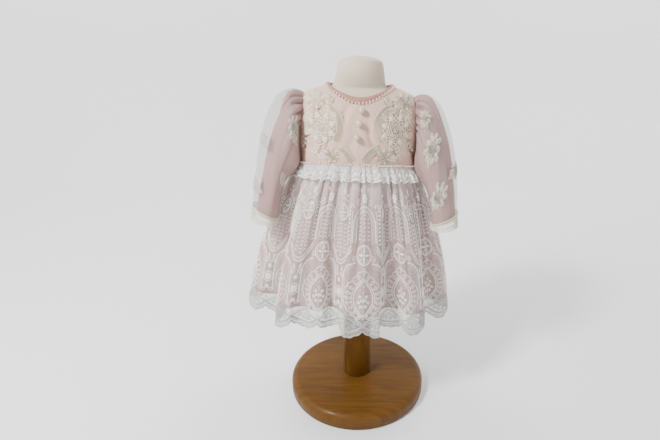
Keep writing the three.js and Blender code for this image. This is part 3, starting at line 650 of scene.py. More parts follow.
def add_pairs(thread, x, coils, leaves):
    """Coils and leaves in mirrored pairs beside an axis."""
    for hand in (-1, 1):
        for out, z, radius, turns, start, twist, width, height in coils:
            begin = start if hand > 0 else 180 - start
            thread.cord(spiral(x + hand * out, z, radius, turns, begin, hand * twist), width, height)
        for out, z, tilt, length, width in leaves:
            add_leaf(thread, x + hand * out, z, 90 - hand * tilt, length, width)


# Materials, all procedural

class Paint:
    """A material in the making, with its nodes and its surface."""

    def __init__(self, name, values):
        self.material = bpy.data.materials.new(name)
        self.material.use_nodes = True
        self.tree = self.material.node_tree
        self.surface = self.tree.nodes["Principled BSDF"]
        self.set(self.surface, values)

    def set(self, node, values):
        for socket, value in values.items():
            node.inputs[socket].default_value = value

    def add(self, kind, values=None, settings=None):
        node = self.tree.nodes.new("ShaderNode" + kind)
        for name, value in (settings or {}).items():
            setattr(node, name, value)
        self.set(node, values or {})
        return node

    def link(self, source, output, target, socket):
        self.tree.links.new(source.outputs[output], target.inputs[socket])

    def bump(self, source, strength, distance):
        node = self.add("Bump", {"Strength": strength, "Distance": distance})
        self.link(source, "Fac", node, "Height")
        self.link(node, "Normal", self.surface, "Normal")

    def grain(self, colour, shade, scale, detail):
        """Mixes two colours by a fine uneven noise, and gives the noise."""
        noise = self.add("TexNoise", {"Scale": scale, "Detail": detail})
        self.link(self.add("TexCoord"), "Object", noise, "Vector")
        mix = self.add("Mix", settings={"data_type": "RGBA"})
        self.set(mix, {"A": (*shade, 1), "B": (*colour, 1)})
        self.link(noise, "Fac", mix, "Factor")
        self.link(mix, "Result", self.surface, "Base Color")
        return noise


def cloth_material(name, colour, shade, roughness, sheen, grain, bump=0.25):
    """Woven cloth: a fine uneven grain in colour and relief, with a soft sheen."""
    paint = Paint(name, {"Roughness": roughness, "Sheen Weight": sheen, "Sheen Roughness": 0.4})
    paint.bump(paint.grain(colour, shade, grain, 3.0), bump, 0.0006)
    return paint.material


def thread_material(name, colour, shade):
    """Embroidery thread: close ribs of stitches with a dull silk shine."""
    paint = Paint(name, {"Roughness": 0.62})
    paint.bump(paint.grain(colour, shade, 900.0, 2.0), 0.5, 0.0004)
    return paint.material


def net_material(name, colour, cell, thread, veil, gathered=None):
    """Fine net: threads round open cells, over a veil that thickens where the net is gathered."""
    paint = Paint(name, {"Base Color": (*colour, 1), "Roughness": 0.8})
    uv = paint.add("UVMap", settings={"uv_map": "flat"})
    turn = paint.add("Mapping", {"Rotation": (0.0, 0.0, math.radians(45))})
    cells = paint.add("TexVoronoi", settings={"feature": "DISTANCE_TO_EDGE"})
    paint.set(cells, {"Scale": 1.0 / cell, "Randomness": 0.2})
    paint.link(uv, "UV", turn, "Vector")
    paint.link(turn, "Vector", cells, "Vector")
    edge = paint.add("MapRange", {"From Min": thread * 0.6, "From Max": thread})
    paint.set(edge, {"To Min": 1.0, "To Max": veil})
    paint.link(cells, "Distance", edge, "Value")
    if gathered:
        low, high, thick = gathered
        split = paint.add("SeparateXYZ")
        paint.link(uv, "UV", split, "Vector")
        thicken = paint.add("MapRange", settings={"interpolation_type": "SMOOTHSTEP"})
        paint.set(thicken, {"From Min": low, "From Max": high, "To Min": veil, "To Max": thick})
        paint.link(split, "Y", thicken, "Value")
        paint.link(thicken, "Result", edge, "To Max")
    paint.link(edge, "Result", paint.surface, "Alpha")
    return paint.material


def pearl_material(name, colour):
    values = {"Base Color": (*colour, 1), "Roughness": 0.24, "Metallic": 0.1}
    values.update({"Coat Weight": 0.5, "Coat Roughness": 0.12})
    return Paint(name, values).material


# Dark and light grain of the wood: place in the noise, and colour
WOOD_GRAIN = [(0.3, (0.078, 0.032, 0.005)), (0.72, (0.118, 0.053, 0.008))]


def wood_material():
    """Varnished wood with a straight uneven grain along one direction of the board."""
    paint = Paint("varnished_wood", {"Roughness": 0.5, "Specular IOR Level": 0.12})
    paint.set(paint.surface, {"Coat Weight": 0.07, "Coat Roughness": 0.2})
    mapping = paint.add("Mapping", {"Scale": (6.0, 60.0, 6.0), "Rotation": (0.0, 0.0, math.radians(28))})
    paint.link(paint.add("TexCoord"), "Object", mapping, "Vector")
    grain = paint.add("TexNoise", {"Scale": 2.2, "Detail": 6.0, "Distortion": 0.8})
    paint.link(mapping, "Vector", grain, "Vector")
    colours = paint.add("ValToRGB")
    for element, (position, colour) in zip(colours.color_ramp.elements, WOOD_GRAIN):
        element.position = position
        element.color = (*colour, 1)
    paint.link(grain, "Fac", colours, "Fac")
    paint.link(colours, "Color", paint.surface, "Base Color")
    paint.bump(grain, 0.08, 0.0005)
    return paint.material


CREPE = cloth_material("pink_crepe", (0.69, 0.465, 0.39), (0.60, 0.385, 0.315), 0.75, 0.08, 1500.0)
SILK = cloth_material("pink_silk", (0.44, 0.225, 0.195), (0.37, 0.18, 0.155), 0.5, 0.1, 900.0, 0.15)
LINING = cloth_material("lining_satin", (0.37, 0.172, 0.152), (0.30, 0.132, 0.115), 0.45, 0.08, 900.0, 0.12)
SATIN = cloth_material("pink_satin", (0.40, 0.19, 0.15), (0.33, 0.15, 0.115), 0.6, 0.1, 900.0, 0.12)
JERSEY = cloth_material("form_jersey", (0.62, 0.53, 0.42), (0.55, 0.46, 0.36), 0.9, 0.2, 1300.0, 0.3)
TRIM_NET = net_material("trim_net", (0.90, 0.87, 0.83), 1.4, 0.10, 0.30)
TULLE = net_material("skirt_net", (0.93, 0.85, 0.82), 1.5, 0.07, 0.05, (190.0, 290.0, 0.34))
SLEEVE_NET = net_material("sleeve_net", (0.44, 0.41, 0.40), 0.7, 0.05, 0.15)
LACE_NET = net_material("lace_net", (0.82, 0.77, 0.68), 1.7, 0.12, 0.06)
DENSE_NET = net_material("dense_net", (0.82, 0.76, 0.72), 1.5, 0.13, 0.10)
HEM_NET = net_material("hem_net", (0.46, 0.45, 0.43), 1.5, 0.12, 0.08)
# Darker net ground under the lace motifs: partly the lace's own ground, partly painted shade for the gaps
# between the raised cords
SHADED_LACE_GROUND = net_material("shaded_lace_ground", (0.38, 0.265, 0.18), 2.0, 0.20, 0.25)
WHITE_THREAD = thread_material("white_thread", (0.95, 0.92, 0.89), (0.80, 0.76, 0.725))
HEM_THREAD = thread_material("hem_thread", (0.46, 0.45, 0.43), (0.34, 0.33, 0.315))
TRIM_THREAD = thread_material("trim_thread", (0.98, 0.96, 0.93), (0.86, 0.83, 0.79))
IVORY_THREAD = thread_material("ivory_thread", (0.78, 0.69, 0.55), (0.62, 0.525, 0.395))
SLEEVE_THREAD = thread_material("sleeve_thread", (0.64, 0.585, 0.495), (0.48, 0.42, 0.345))
PEARL = pearl_material("pearl_lustre", (0.60, 0.49, 0.395))
BEAD = pearl_material("bead_lustre", (0.74, 0.62, 0.50))
WOOD = wood_material()
FLOOR = Paint("pale_floor", {"Base Color": (0.86, 0.86, 0.86, 1), "Roughness": 0.9}).material


# Stand and form

BASE = {"radius": 140, "edge": 14, "top": 32}
POST_PROFILE = [(0.5, 32.3), (27.5, 32.3), (28, 33), (28, 401.5), (27.5, 402.2), (0.5, 402.2)]
FORM_Z = [404, 412, 440, 480, 511, 550, 575, 588, 597, 602, 606, 611, 618, 640, 652, 658, 661]
FORM_FITTED = slice(3, 11)
# Half breadth and depths of the form below and above the rows that are fitted to the bodice
FORM_ENDS = {
    "half": ([88, 94, 99], [52, 44, 40, 37, 28, 14]),
    "front": ([60, 65, 70], [27, 30, 36, 33, 25, 12]),
    "back": ([52, 57, 61], [27, 29, 32, 30, 22, 10]),
}


def lathe(name, profile, sides):
    angle = round_angles(sides)
    r = np.array([p[0] for p in profile])[:, None]
    z = np.array([p[1] for p in profile])[:, None]
    points = np.stack([r * np.cos(angle), r * np.sin(angle), z + 0 * angle], -1)
    return add_grid(name, points)


def stand_base():
    """A round foot with a small bevel below and a rounded upper edge."""
    edge = BASE["edge"]
    profile = [(0.5, 0.05), (136.5, 0.05), (139, 1), (BASE["radius"], 3.2)]
    for x, z in arc(BASE["radius"] - edge, BASE["top"] - edge, edge, edge, 0, 90, 12):
        profile.append((x, z))
    profile += [(90, BASE["top"]), (0.5, BASE["top"])]
    return lathe("stand_base_turned", profile, 144)


def form_rows(key):
    low, high = FORM_ENDS[key]
    fitted = []
    for z in FORM_Z[FORM_FITTED]:
        inset = 3.5 if z > ARMPIT["z"] else 5.0
        fitted.append(float(column(TORSO, key, z + 4.0)) - inset)
    return low + fitted + high


def dress_form():
    """A limbless padded form with a closed neck, a little inside the bodice."""
    body = {key: form_rows(key) for key in FORM_ENDS}
    body["z"] = FORM_Z
    z = np.concatenate([np.linspace(404, 640, 119), np.linspace(641, 661, 21)])[:, None]
    angle = round_angles(128)
    depth = np.where(np.cos(angle) > 0, column(body, "front", z), column(body, "back", z))
    points = np.stack([column(body, "half", z) * np.sin(angle), -depth * np.cos(angle), z + 0 * angle], -1)
    bottom = points[:1] * np.array([0.02, 0.02, 1])
    top = points[-1:] * np.array([0.03, 0.03, 1]) + [0, 0, 0.9]
    points = np.concatenate([bottom, points, top])
    return add_grid("dress_form_cover", lean(points))


place(stand_base(), WOOD, ["stand_base"])
place(lathe("stand_post_turned", POST_PROFILE, 72), WOOD, ["stand_post"])
place(dress_form(), JERSEY, ["dress_form"])


# Bodice panels

# Creases of the bodice front: x and z, turn, length, width and height, all in millimetres but the turn
FRONT_CREASES = [
    (-60, 515, 62, 26, 4.5, -4.0),
    (64, 512, 118, 26, 4.5, -4.0),
    (-92, 518, 72, 26, 5, -4.2),
    (-82, 516, 72, 24, 5, 1.5),
    (92, 518, 108, 26, 5, -4.2),
    (82, 514, 108, 24, 5, 1.5),
    (-24, 572, 64, 30, 4.5, -4.0),
    (-14, 566, 64, 26, 5, 1.4),
    (22, 532, 110, 34, 5, -3.6),
    (30, 540, 110, 26, 5, 1.2),
    (-70, 572, 58, 20, 4.5, -4.0),
    (62, 574, 122, 20, 4.5, -4.0),
    (-12, 520, 80, 28, 6, -2.4),
    (0, 500, 4, 46, 5, -1.4),
]


def bodice_panel(name, facing, sides):
    """The front over both sides, or one half of the back."""
    x, z, share = bodice_outline(facing)
    if len(sides) == 2:
        x = np.concatenate([-x[:0:-1], x])
        z = np.concatenate([z[:0:-1], z])
        share = np.concatenate([share[:0:-1], share])
        mirror = np.sign(x + 1e-9)
        mirror[len(mirror) // 2] = 1
    else:
        mirror = np.full(len(x), float(sides[0]))
        x = x * sides[0]
        x[0] = sides[0] * SEAM_GAP / 2
    down = (np.linspace(0, 1, 49) ** 1.5)[:, None]
    sine = np.sin(share * math.pi / 2)
    px = lerp(x, WAIST["half"] * sine * mirror, down)
    pz = lerp(z, waist_height(sine, facing), down)
    if facing < 0:
        crease = sum(bump_at(px, pz, row) for row in FRONT_CREASES)
    else:
        crease = 0.5 * ripple(px / 14, pz / 30, 3)
    crease = crease * np.sin(np.pi * np.clip(down, 0, 1)) ** 0.5
    points = lean(torso_offset(px, pz, facing, crease - 0.1))
    return add_grid(name, points, False, flat_map(px, pz))


bodice_front = place(bodice_panel("bodice_front_cloth", -1.0, (-1, 1)), CREPE, ["bodice_front"])
for word, side in SIDES:
    back = bodice_panel(f"bodice_back_{word}_cloth", 1.0, (side,))
    place(back, CREPE, [f"bodice_back_{word}"])


# Neck band with its row of beads, and the pearl buttons

# Section of the neck band: reach from the neckline and height over the bodice, in mm
NECK_SECTION = [
    (0.4, -0.8), (-0.4, 0.4), (0.0, 1.5), (1.2, 2.3),
    (2.6, 2.5), (4.0, 2.2), (5.0, 1.3), (5.4, 0.5),
]
NECK_BEADS = 64


def neck_line(angle, reach, out):
    facing = np.where(np.cos(angle) > 0, -1.0, 1.0)
    depth = np.where(facing < 0, NECK["front"], NECK["back"])
    x = (NECK["half"] + reach) * np.sin(angle)
    y = -(depth + reach) * np.cos(angle)
    p = np.stack([x, y, torso_height(x, y)], -1)
    return lean(p + torso_normal(p, facing) * np.broadcast_to(out, x.shape)[..., None])


def neck_band():
    angle = round_angles(240)
    rows = [neck_line(angle, reach, out + 0.12 * np.sin(angle * 46)) for reach, out in NECK_SECTION]
    return add_grid("neck_band_satin", np.stack(rows))


def bead_row(name, centres, radius, sides=10, rows=6):
    lat = np.linspace(0.06, math.pi - 0.06, rows + 1)[:, None]
    lon = round_angles(sides)
    ball = np.stack([np.sin(lat) * np.cos(lon), np.sin(lat) * np.sin(lon), np.cos(lat) + 0 * lon], -1)
    ball = ball.reshape(-1, 3) * radius
    points = np.concatenate([ball + centre for centre in centres])
    faces = [grid_faces(rows + 1, sides, True, i * len(ball)) for i in range(len(centres))]
    return add_mesh(name, points, np.concatenate(faces))


place(neck_band(), SATIN, ["neck_band"])
place(bead_row("neck_beads", neck_line(round_angles(NECK_BEADS), 6.0, 2.1), 1.75), BEAD, ())
for i, (x, z) in enumerate(PEARLS, 1):
    centre = front_surface(x, z, PEARL_RADIUS + SEAM_GAP)
    button = bead_row(f"pearl_button_{i}_ball", [centre], PEARL_RADIUS, 32, 20)
    place(button, PEARL, [f"pearl_button_{i}"])


# Corded lace on the bodice front, drawn for +x

BORDER_ARCS = [(62, 552, 33, 112, 222), (47, 486, 38, 108, 158)]
BORDER_START = (44, 598)
# Clusters: x, z, radius, turn, petals and the radius of the darker ground, partly net ground and partly
# painted shade
BODICE_CLUSTERS = [(61, 549, 25, 10, 8, 23), (71, 591, 15, 40, 7, 14), (42, 506, 13, 70, 7, 12)]
# Flowers of five petals: x, z, radius and turn
BODICE_FLOWERS = [
    (82, 566, 7.5, 20),
    (41, 570, 5.5, 50),
    (86, 540, 7.0, 0),
    (88, 592, 6.0, 10),
    (54, 597, 5.0, 30),
    (60, 504, 7.0, 15),
    (30, 521, 4.6, 0),
]
# Sprays: x, z, angle, length, pairs of leaves and their size
BODICE_SPRAYS = [
    (64, 526, -80, 14, 2, 7),
    (84, 555, 30, 13, 2, 7),
    (55, 571, 100, 15, 2, 7),
    (80, 530, -50, 16, 2, 7),
    (80, 582, -60, 12, 2, 6),
    (60, 584, -130, 11, 2, 5),
    (64, 506, 10, 20, 3, 7),
    (52, 515, 50, 14, 2, 6),
]


def border_line(shift):
    """The border's centre line moved sideways, with a short lead from the neck."""
    cx, cz, radius, start, _ = BORDER_ARCS[0]
    lead = line(BORDER_START[0] + shift, BORDER_START[1], *polar(cx, cz, radius - shift, start), 2.0)[:-1]
    arcs = [arc(cx, cz, r - shift, r - shift, a, b, 40) for cx, cz, r, a, b in BORDER_ARCS]
    return [np.concatenate([lead, arcs[0]]), arcs[1]]


def draw_border(thread):
    for shift, width in ((-5.2, 1.5), (-3.4, 1.0), (3.4, 1.0), (5.2, 1.5)):
        for path in border_line(shift):
            thread.cord(path, width, 1.3)
    for path in border_line(0.0):
        lengths = path_lengths(path)
        for at in np.arange(2.2, lengths[-1], 4.4):
            x, z = np.interp(at, lengths, path[:, 0]), np.interp(at, lengths, path[:, 1])
            thread.cord(ring(x, z, 1.7, steps=10), 0.9, 1.2, closed=True)
    for path in border_line(-6.6):
        for x, z in path[::3]:
            thread.dot(x, z, 0.9, 0.9)


def bodice_lace(word, side):
    thread = Thread(front_surface, 0.25, (side, 1))
    draw_border(thread)
    for x, z, radius, turn, petals, _ in BODICE_CLUSTERS:
        add_cluster(thread, x, z, radius, turn, petals)
    for x, z, radius, turn in BODICE_FLOWERS:
        add_flower(thread, x, z, radius, 5, turn)
    for row in BODICE_SPRAYS:
        add_spray(thread, *row)
    return build_threads(f"bodice_lace_{word}", [thread])


def bodice_shaded_ground(word, side):
    """The net ground in the gaps of the border and the large motifs: partly the lace's own ground, partly
    painted shade.
    """
    thread = Thread(front_surface, 0.18, (side, 1))
    for path in border_line(0.0):
        thread.cord(path, 11.5, 0.06)
    for x, z, _, _, _, radius in BODICE_CLUSTERS:
        thread.fill((x, z), ring(x, z, radius), 0.06)
    return build_threads(f"bodice_lace_ground_{word}", [thread])


for word, side in SIDES:
    lace_nodes = [f"lace_border_{word}"] + [f"motif_{part}_{word}" for part in ("shoulder", "chest", "waist")]
    place(bodice_lace(word, side), IVORY_THREAD, lace_nodes)
    # The darker ground under each side's lace is partly real net ground and partly painted shade in its gaps
    place(bodice_shaded_ground(word, side), SHADED_LACE_GROUND, ())


# Sleeves: silk, sheer layer, motifs and cuff lace

# Flat sizes that the nets are drawn in: length down the sleeve, and radius of the sleeve and of the cuff
SLEEVE_LENGTH = 230
SLEEVE_ROUND = 27
CUFF_ROUND = 21
# Places of the cuff lace along the sleeve: its head, its leaves and the loops in its scallops
CUFF_TOP = 0.915
CUFF_LEAVES = 0.95
CUFF_LOOPS = 0.969
CUFF_SCALLOPS = 18
CUFF_COLS = 216
# How far the silk hangs inside the sleeve's shape and the sheer layer outside it, on the outer side, in mm
SILK_INSET = {1: 5.0, -1: 12.0}
NET_FULLNESS = {1: 3.0, -1: 9.0}
# Motifs of each sleeve: place round in degrees and along, radius in mm, turn, stretch round the sleeve
SLEEVE_MOTIFS = {
    1: [
        (64, 0.19, 11, 30, 1.15),
        (80, 0.42, 18, 0, 1.2),
        (102, 0.725, 17, 60, 1.2),
        (20, 0.68, 12.5, 20, 1.15),
    ],
    -1: [
        (88, 0.235, 13, 80, 1.35),
        (26, 0.54, 10.5, 10, 1.15),
        (122, 0.57, 8.5, 40, 1.1),
        (22, 0.80, 12.5, 30, 1.15),
    ],
}
MOTIF_WORDS = ("top", "upper", "lower", "outer")


def outer_side(around, middle):
    return np.clip(np.cos(around - middle), 0, 1) ** 1.2


def silk_lift(side, around, along):
    reach = ramp(along, 0.16, 5) * (1 - 0.5 * ramp(along, 0.75, 5))
    return -(0.3 + SILK_INSET[side] * outer_side(around, 0.2) * reach)


def net_lift(side, around, along):
    reach = ramp(along, 0.06, 5) * ramp(-along, -0.75, 2)
    return 0.35 + NET_FULLNESS[side] * outer_side(around, 0.35) * reach


def sleeve_shell(name, side, start, end, lift, rows=110, sides=240):
    """A layer of the sleeve between two places along it, tucked in at the armhole."""
    around = round_angles(sides)
    along = np.linspace(start, end, rows)[:, None] ** 1.2
    points = sleeve_surface(side)(around, along, lift(side, around, along))
    tucked = sleeve_point(around, start) * [1, 0.97, 1] - [3.0, 0, 0]
    points = np.concatenate([lean(tucked * [side, 1, 1])[None], points])
    along = np.concatenate([along[:1] - 0.015, along])
    flat = flat_map(around * SLEEVE_ROUND, along * SLEEVE_LENGTH)
    return add_grid(name, points, uv=flat)


def motif_surface(side, deg, along, stretch):
    """The sheer layer round one motif: x mm round the sleeve and z mm up it."""
    around = math.radians(deg)
    across = np.linalg.norm(sleeve_point(around + 0.3, along) - sleeve_point(around - 0.3, along))
    wide = across / 0.6 / stretch
    places = np.linspace(0, 1, 201)
    lengths = path_lengths(sleeve_point(around, places))
    middle = np.interp(along, places, lengths)
    shell = sleeve_surface(side)

    def surface(x, z, out):
        turned = around + x / wide
        down = np.interp(middle - z, lengths, places)
        return shell(turned, down, out + net_lift(side, turned, down))
    return surface


def draw_motif(thread, radius, turn):
    """A rose cluster with leaves and a ring of small flowers."""
    add_cluster(thread, 0, 0, radius * 0.86, turn, 9)
    for i in range(11):
        angle = turn + 360 / 11 * i + 50
        root = polar(0, 0, radius * (0.52 + 0.05 * math.sin(5 * i)), angle)
        add_leaf(thread, *root, angle, radius * 0.5, radius * 0.2, 1.0)
    for i in range(10):
        angle = turn + 36 * i + 80
        centre = polar(0, 0, radius * (0.92 + 0.14 * math.sin(3 * i)), angle)
        add_flower(thread, *centre, radius * 0.23, 5, angle)


def draw_shaded_ground(thread, radius, turn):
    """The darker net ground of a motif: partly its own ground, partly painted shade in its gaps."""
    thread.fill((0, 0), ring(0, 0, radius * 0.92), 0.06)


def sleeve_motifs(name, side, draw, base):
    threads = []
    for deg, along, radius, turn, stretch in SLEEVE_MOTIFS[side]:
        thread = Thread(motif_surface(side, deg, along, stretch), base)
        draw(thread, radius, turn)
        threads.append(thread)
    return build_threads(name, threads)


def cuff_edge(around):
    """Where the cuff lace ends, as a place along the sleeve, with its scallops."""
    return 1.0 - 0.018 * (1 - np.abs(np.sin(CUFF_SCALLOPS / 2 * around)))


def cuff_shell(name, side, rows=16):
    around = round_angles(CUFF_COLS)
    share = np.linspace(0, 1, rows)[:, None]
    along = lerp(CUFF_TOP, cuff_edge(around), share)
    out = 0.9 + 1.1 * share + 0.5 * share * np.sin(CUFF_SCALLOPS * around)
    points = sleeve_surface(side)(around, along, out)
    flat = flat_map(around * CUFF_ROUND, along * SLEEVE_LENGTH)
    return add_grid(name, points, uv=flat)


def cuff_cords(name, side):
    """Two cords round the head of the lace, a corded edge, and a loop and a leaf in each scallop."""
    shell = sleeve_surface(side)
    thread = Thread(lambda x, z, out: shell(x / CUFF_ROUND, z / SLEEVE_LENGTH, out), 1.3)
    around = round_angles(CUFF_COLS)
    cords = [
        (CUFF_TOP + 0.004, 1.8, 1.0),
        (CUFF_TOP + 0.022, 1.6, 1.0),
        (cuff_edge(around) - 0.003, 1.3, 1.4),
    ]
    for along, width, height in cords:
        thread.cord(flat_map(around * CUFF_ROUND, along * SLEEVE_LENGTH), width, height, closed=True)
    loop_z = CUFF_LOOPS * SLEEVE_LENGTH
    for i in range(CUFF_SCALLOPS):
        middle = (i + 0.5) / CUFF_SCALLOPS * TURN * CUFF_ROUND
        thread.cord(ring(middle, loop_z, 2.4, 2.2, 12), 1.0, 1.2, closed=True)
        thread.dot(middle, loop_z, 0.8, 1.3)
        add_leaf(thread, middle + 3.66, CUFF_LEAVES * SLEEVE_LENGTH, 90, 6, 2.2, 1.1)
    return build_threads(name, [thread])


for word, side in SIDES:
    silk_name = f"sleeve_{word}_silk"
    silk = sleeve_shell(silk_name, side, 0.0, 0.95, silk_lift)
    place(silk, SILK, [f"sleeve_{word}"])
    sheer = sleeve_shell(f"sleeve_{word}_net", side, 0.004, 0.96, net_lift)
    place(sheer, SLEEVE_NET, ())
    # A darker net ground under each motif: partly real ground, partly painted shade in its gaps
    ground = sleeve_motifs(f"sleeve_lace_ground_{word}", side, draw_shaded_ground, 0.08)
    place(ground, SHADED_LACE_GROUND, ())
    motifs = sleeve_motifs(f"sleeve_lace_{word}", side, draw_motif, 0.15)
    place(motifs, SLEEVE_THREAD, [f"motif_sleeve_{word}_{m}" for m in MOTIF_WORDS])
    cuff = place(cuff_shell(f"cuff_net_{word}", side), LACE_NET, [f"cuff_lace_{word}"])
    place(cuff_cords(f"cuff_cords_{word}", side), IVORY_THREAD, ())


# Skirt lining and net

def skirt_shell(name, end, out, rows, cols, edge=None):
    cloth = np.arange(cols) / cols
    share = np.linspace(0, 1, rows)[:, None] ** 1.15
    stop = end if edge is None else end - edge(cloth) / SKIRT_LENGTH
    down = share * stop
    points = skirt_at(cloth, down, out)
    flat = flat_map((cloth - HEM_AXIS) * HEM_LENGTH, (1 - down) * SKIRT_LENGTH)
    return add_grid(name, points, uv=flat)


lining = skirt_shell("skirt_lining_cloth", LINING_END, -1.6, 60, 720)
place(lining, LINING, ["skirt_lining_front", "skirt_lining_back"])
skirt_net = skirt_shell("skirt_net", 1.0, 0.0, 70, 1152, hem_rise)
place(skirt_net, TULLE, ["skirt_lace_front", "skirt_lace_back"])


# Embroidery of the skirt: two motif columns that alternate round the cloth, over a worked border

# The small tree in each medallion: height of a tier, and how far its blossoms stand from the stem
TREE_TIERS = [(63, 4.6), (70, 9.4), (74, 3.4), (81, 6.2), (88.5, 0.0)]
# Coils: reach from the axis, height, radius, turns, start angle, twist, width and height of the cord
MEDALLION_COILS = [
    (20, 146, 6, 1.4, 270, 1, 1.2, 0.7),
    (19, 240, 6.5, 1.4, 200, 1, 1.3, 0.7),
    (33, 232, 5.0, 1.3, 200, -1, 1.2, 0.7),
]
ROSETTE_COILS = [(9, 112, 6.5, 1.5, 200, -1, 1.4, 0.8), (9, 54, 6, 1.4, 130, 1, 1.3, 0.8)]
# Leaves: reach from the axis, height, tilt from upright, length and width
MEDALLION_LEAVES = [(10, 256, 40, 9, 3.2)]
ROSETTE_LEAVES = [(5, 118, 20, 11, 4), (8, 246, 50, 10, 3.4)]
# Flowers of a rosette column: height, radius and petals
ROSETTE_FLOWERS = [(80, 9, 8), (59, 5, 6), (102, 5, 6), (256, 6.5, 6)]
ARCH_LOW, ARCH_SPRING = 172, 204
FESTOON = {"half": 27, "low": 131, "rise": 30}


def ogee(cx, cz, half, tall, power, steps=44):
    t = np.linspace(0, 1, steps // 2 + 1)
    x = half * np.sin(np.pi * t) ** power
    z = cz - tall / 2 + tall * t
    left = np.stack([cx - x, z], -1)[::-1][1:-1]
    return np.concatenate([np.stack([cx + x, z], -1), left])


def add_roundel(thread, cx, cz, radius):
    """A ringed disc with a cross of four slender petals."""
    thread.cord(ring(cx, cz, radius), 1.9, 0.8, closed=True)
    thread.cord(ring(cx, cz, radius * 0.84), 0.9, 0.6, closed=True)
    for angle in (0, 90, 180, 270):
        c, s = cos_sin(angle)
        add_leaf(thread, *polar(cx, cz, 1.6, angle), angle, radius * 0.74, radius * 0.26)
        near, far = 0.3 * radius, 0.56 * radius
        bar = line(cx + near * (c - s), cz + near * (c + s), cx + far * (c - s), cz + far * (c + s), 3.0)
        thread.cord(bar, 0.7, 0.5)
    thread.dot(cx, cz, 1.8, 1.2)


def arch_path(cx, low, spring, half):
    return np.concatenate([line(cx - half, low, cx - half, spring),
                           arc(cx, spring, half, half * 1.05, 180, 0, 22)[1:-1],
                           line(cx + half, spring, cx + half, low)])


def festoon_path(cx, lift):
    t = np.linspace(-1, 1, 21)
    return np.stack([cx + FESTOON["half"] * t, FESTOON["low"] + lift + FESTOON["rise"] * t * t], -1)


def shoulder_path(cx, hand):
    """The line that rises beside a medallion and turns in under its roundel."""
    t = np.linspace(0, math.pi / 2, 12)
    curve = np.stack([cx + hand * (18 + 26 * np.cos(t)), 112 + 26 * np.sin(t)], -1)
    return np.concatenate([line(cx + hand * 44, 52, cx + hand * 44, 112)[:-1], curve])


def pearl_column(thread, x, low, high):
    """A row of knots between two fine upright lines."""
    for z in np.arange(low, high, 6.8):
        thread.dot(x, z, 1.75, 1.5)
    for side in (-3.4, 3.4):
        thread.cord(line(x + side, low - 3, x + side, high, 5.0), 0.6, 0.35)


def add_medallion(thread, x):
    """An ogee with a small tree, inside a halo of scrolls and a wavy rim."""
    thread.cord(ogee(x, 77, 19.0, 66, 0.9), 2.0, 0.9, closed=True)
    thread.cord(ogee(x, 77, 23.0, 75, 0.92), 1.4, 0.9, closed=True)
    thread.cord(line(x, 52, x, 92), 1.1, 0.7)
    for level, out in TREE_TIERS:
        for hand in (-1, 1):
            add_flower(thread, x + hand * out, level, 3.5, 5, 18)
    for level in (46.5, 49.5, 98, 101.5):
        thread.dot(x, level, 1.2, 1.1)
    for px, pz in ogee(x, 78, 30.5, 92, 0.98, 40)[2::2]:
        turn = math.degrees(math.atan2(pz - 78, px - x))
        hand = 1 if px > x else -1
        thread.cord(spiral(px, pz, 3.9, 1.1, turn + 180, hand), 1.2, 0.8)
        thread.dot(*polar(px, pz, -4.6, turn), 1.45, 1.2)
    rim = ogee(x, 79, 38, 104, 1.05, 88)
    wave = 1 + 0.035 * np.cos(np.arange(len(rim)) * math.pi / 2)
    thread.cord(np.array([x, 79]) + (rim - [x, 79]) * wave[:, None], 1.3, 0.8, closed=True)


def medallion_column(thread, x):
    """A medallion, its shoulders, a roundel, pearl rows under an arch, and a star."""
    add_medallion(thread, x)
    for hand in (-1, 1):
        thread.cord(shoulder_path(x, hand), 1.8, 0.8)
    add_roundel(thread, x, 153, 17)
    for half, width in ((28, 1.5), (20.5, 1.3)):
        thread.cord(arch_path(x, ARCH_LOW, ARCH_SPRING, half), width, 0.8)
    for out, high in ((-12, 217), (0, 223), (12, 217)):
        pearl_column(thread, x + out, 179, high)
    add_flower(thread, x, 246, 9.5, 8, 0)
    add_pairs(thread, x, MEDALLION_COILS, MEDALLION_LEAVES)


def rosette_column(thread, x0):
    """A rosette with volutes, a festoon under pearl rows, and a high roundel, half a repeat along."""
    x = x0 + REPEAT / 2
    thread.cord(ring(x, 80, 10.5), 1.4, 0.8, closed=True)
    for level, radius, petals in ROSETTE_FLOWERS:
        add_flower(thread, x, level, radius, petals, 0)
    for lift, width in ((0, 1.5), (7.5, 1.3)):
        thread.cord(festoon_path(x, lift), width, 0.8)
    for out in (-22, -11, 0, 11, 22):
        pearl_column(thread, x + out, 147 + 0.05 * out * out, 203 if abs(out) < 20 else 226)
    add_roundel(thread, x, 221, 14)
    thread.cord(arch_path(x, 214, 224, 19), 1.3, 0.7)
    add_pairs(thread, x, ROSETTE_COILS, ROSETTE_LEAVES)


def dense_patches(thread, x0):
    """Closely worked net: the arch bands, the festoon bands and the shoulders of the medallions."""
    thread.cord(arch_path(x0, ARCH_LOW, ARCH_SPRING, 24.2), 7.5, 0.05)
    thread.cord(festoon_path(x0 + REPEAT / 2, 3.7), 7.5, 0.05)
    for hand in (-1, 1):
        thread.cord(shoulder_path(x0, hand)[:-3] + [hand * -4.5, 0], 9.0, 0.05)


def hem_band(x, rise):
    """A smooth line that follows the hem's points but not its scallops."""
    return HEM_POINT_DROP * (1 - np.abs(np.sin(TURN * x / REPEAT))) + rise


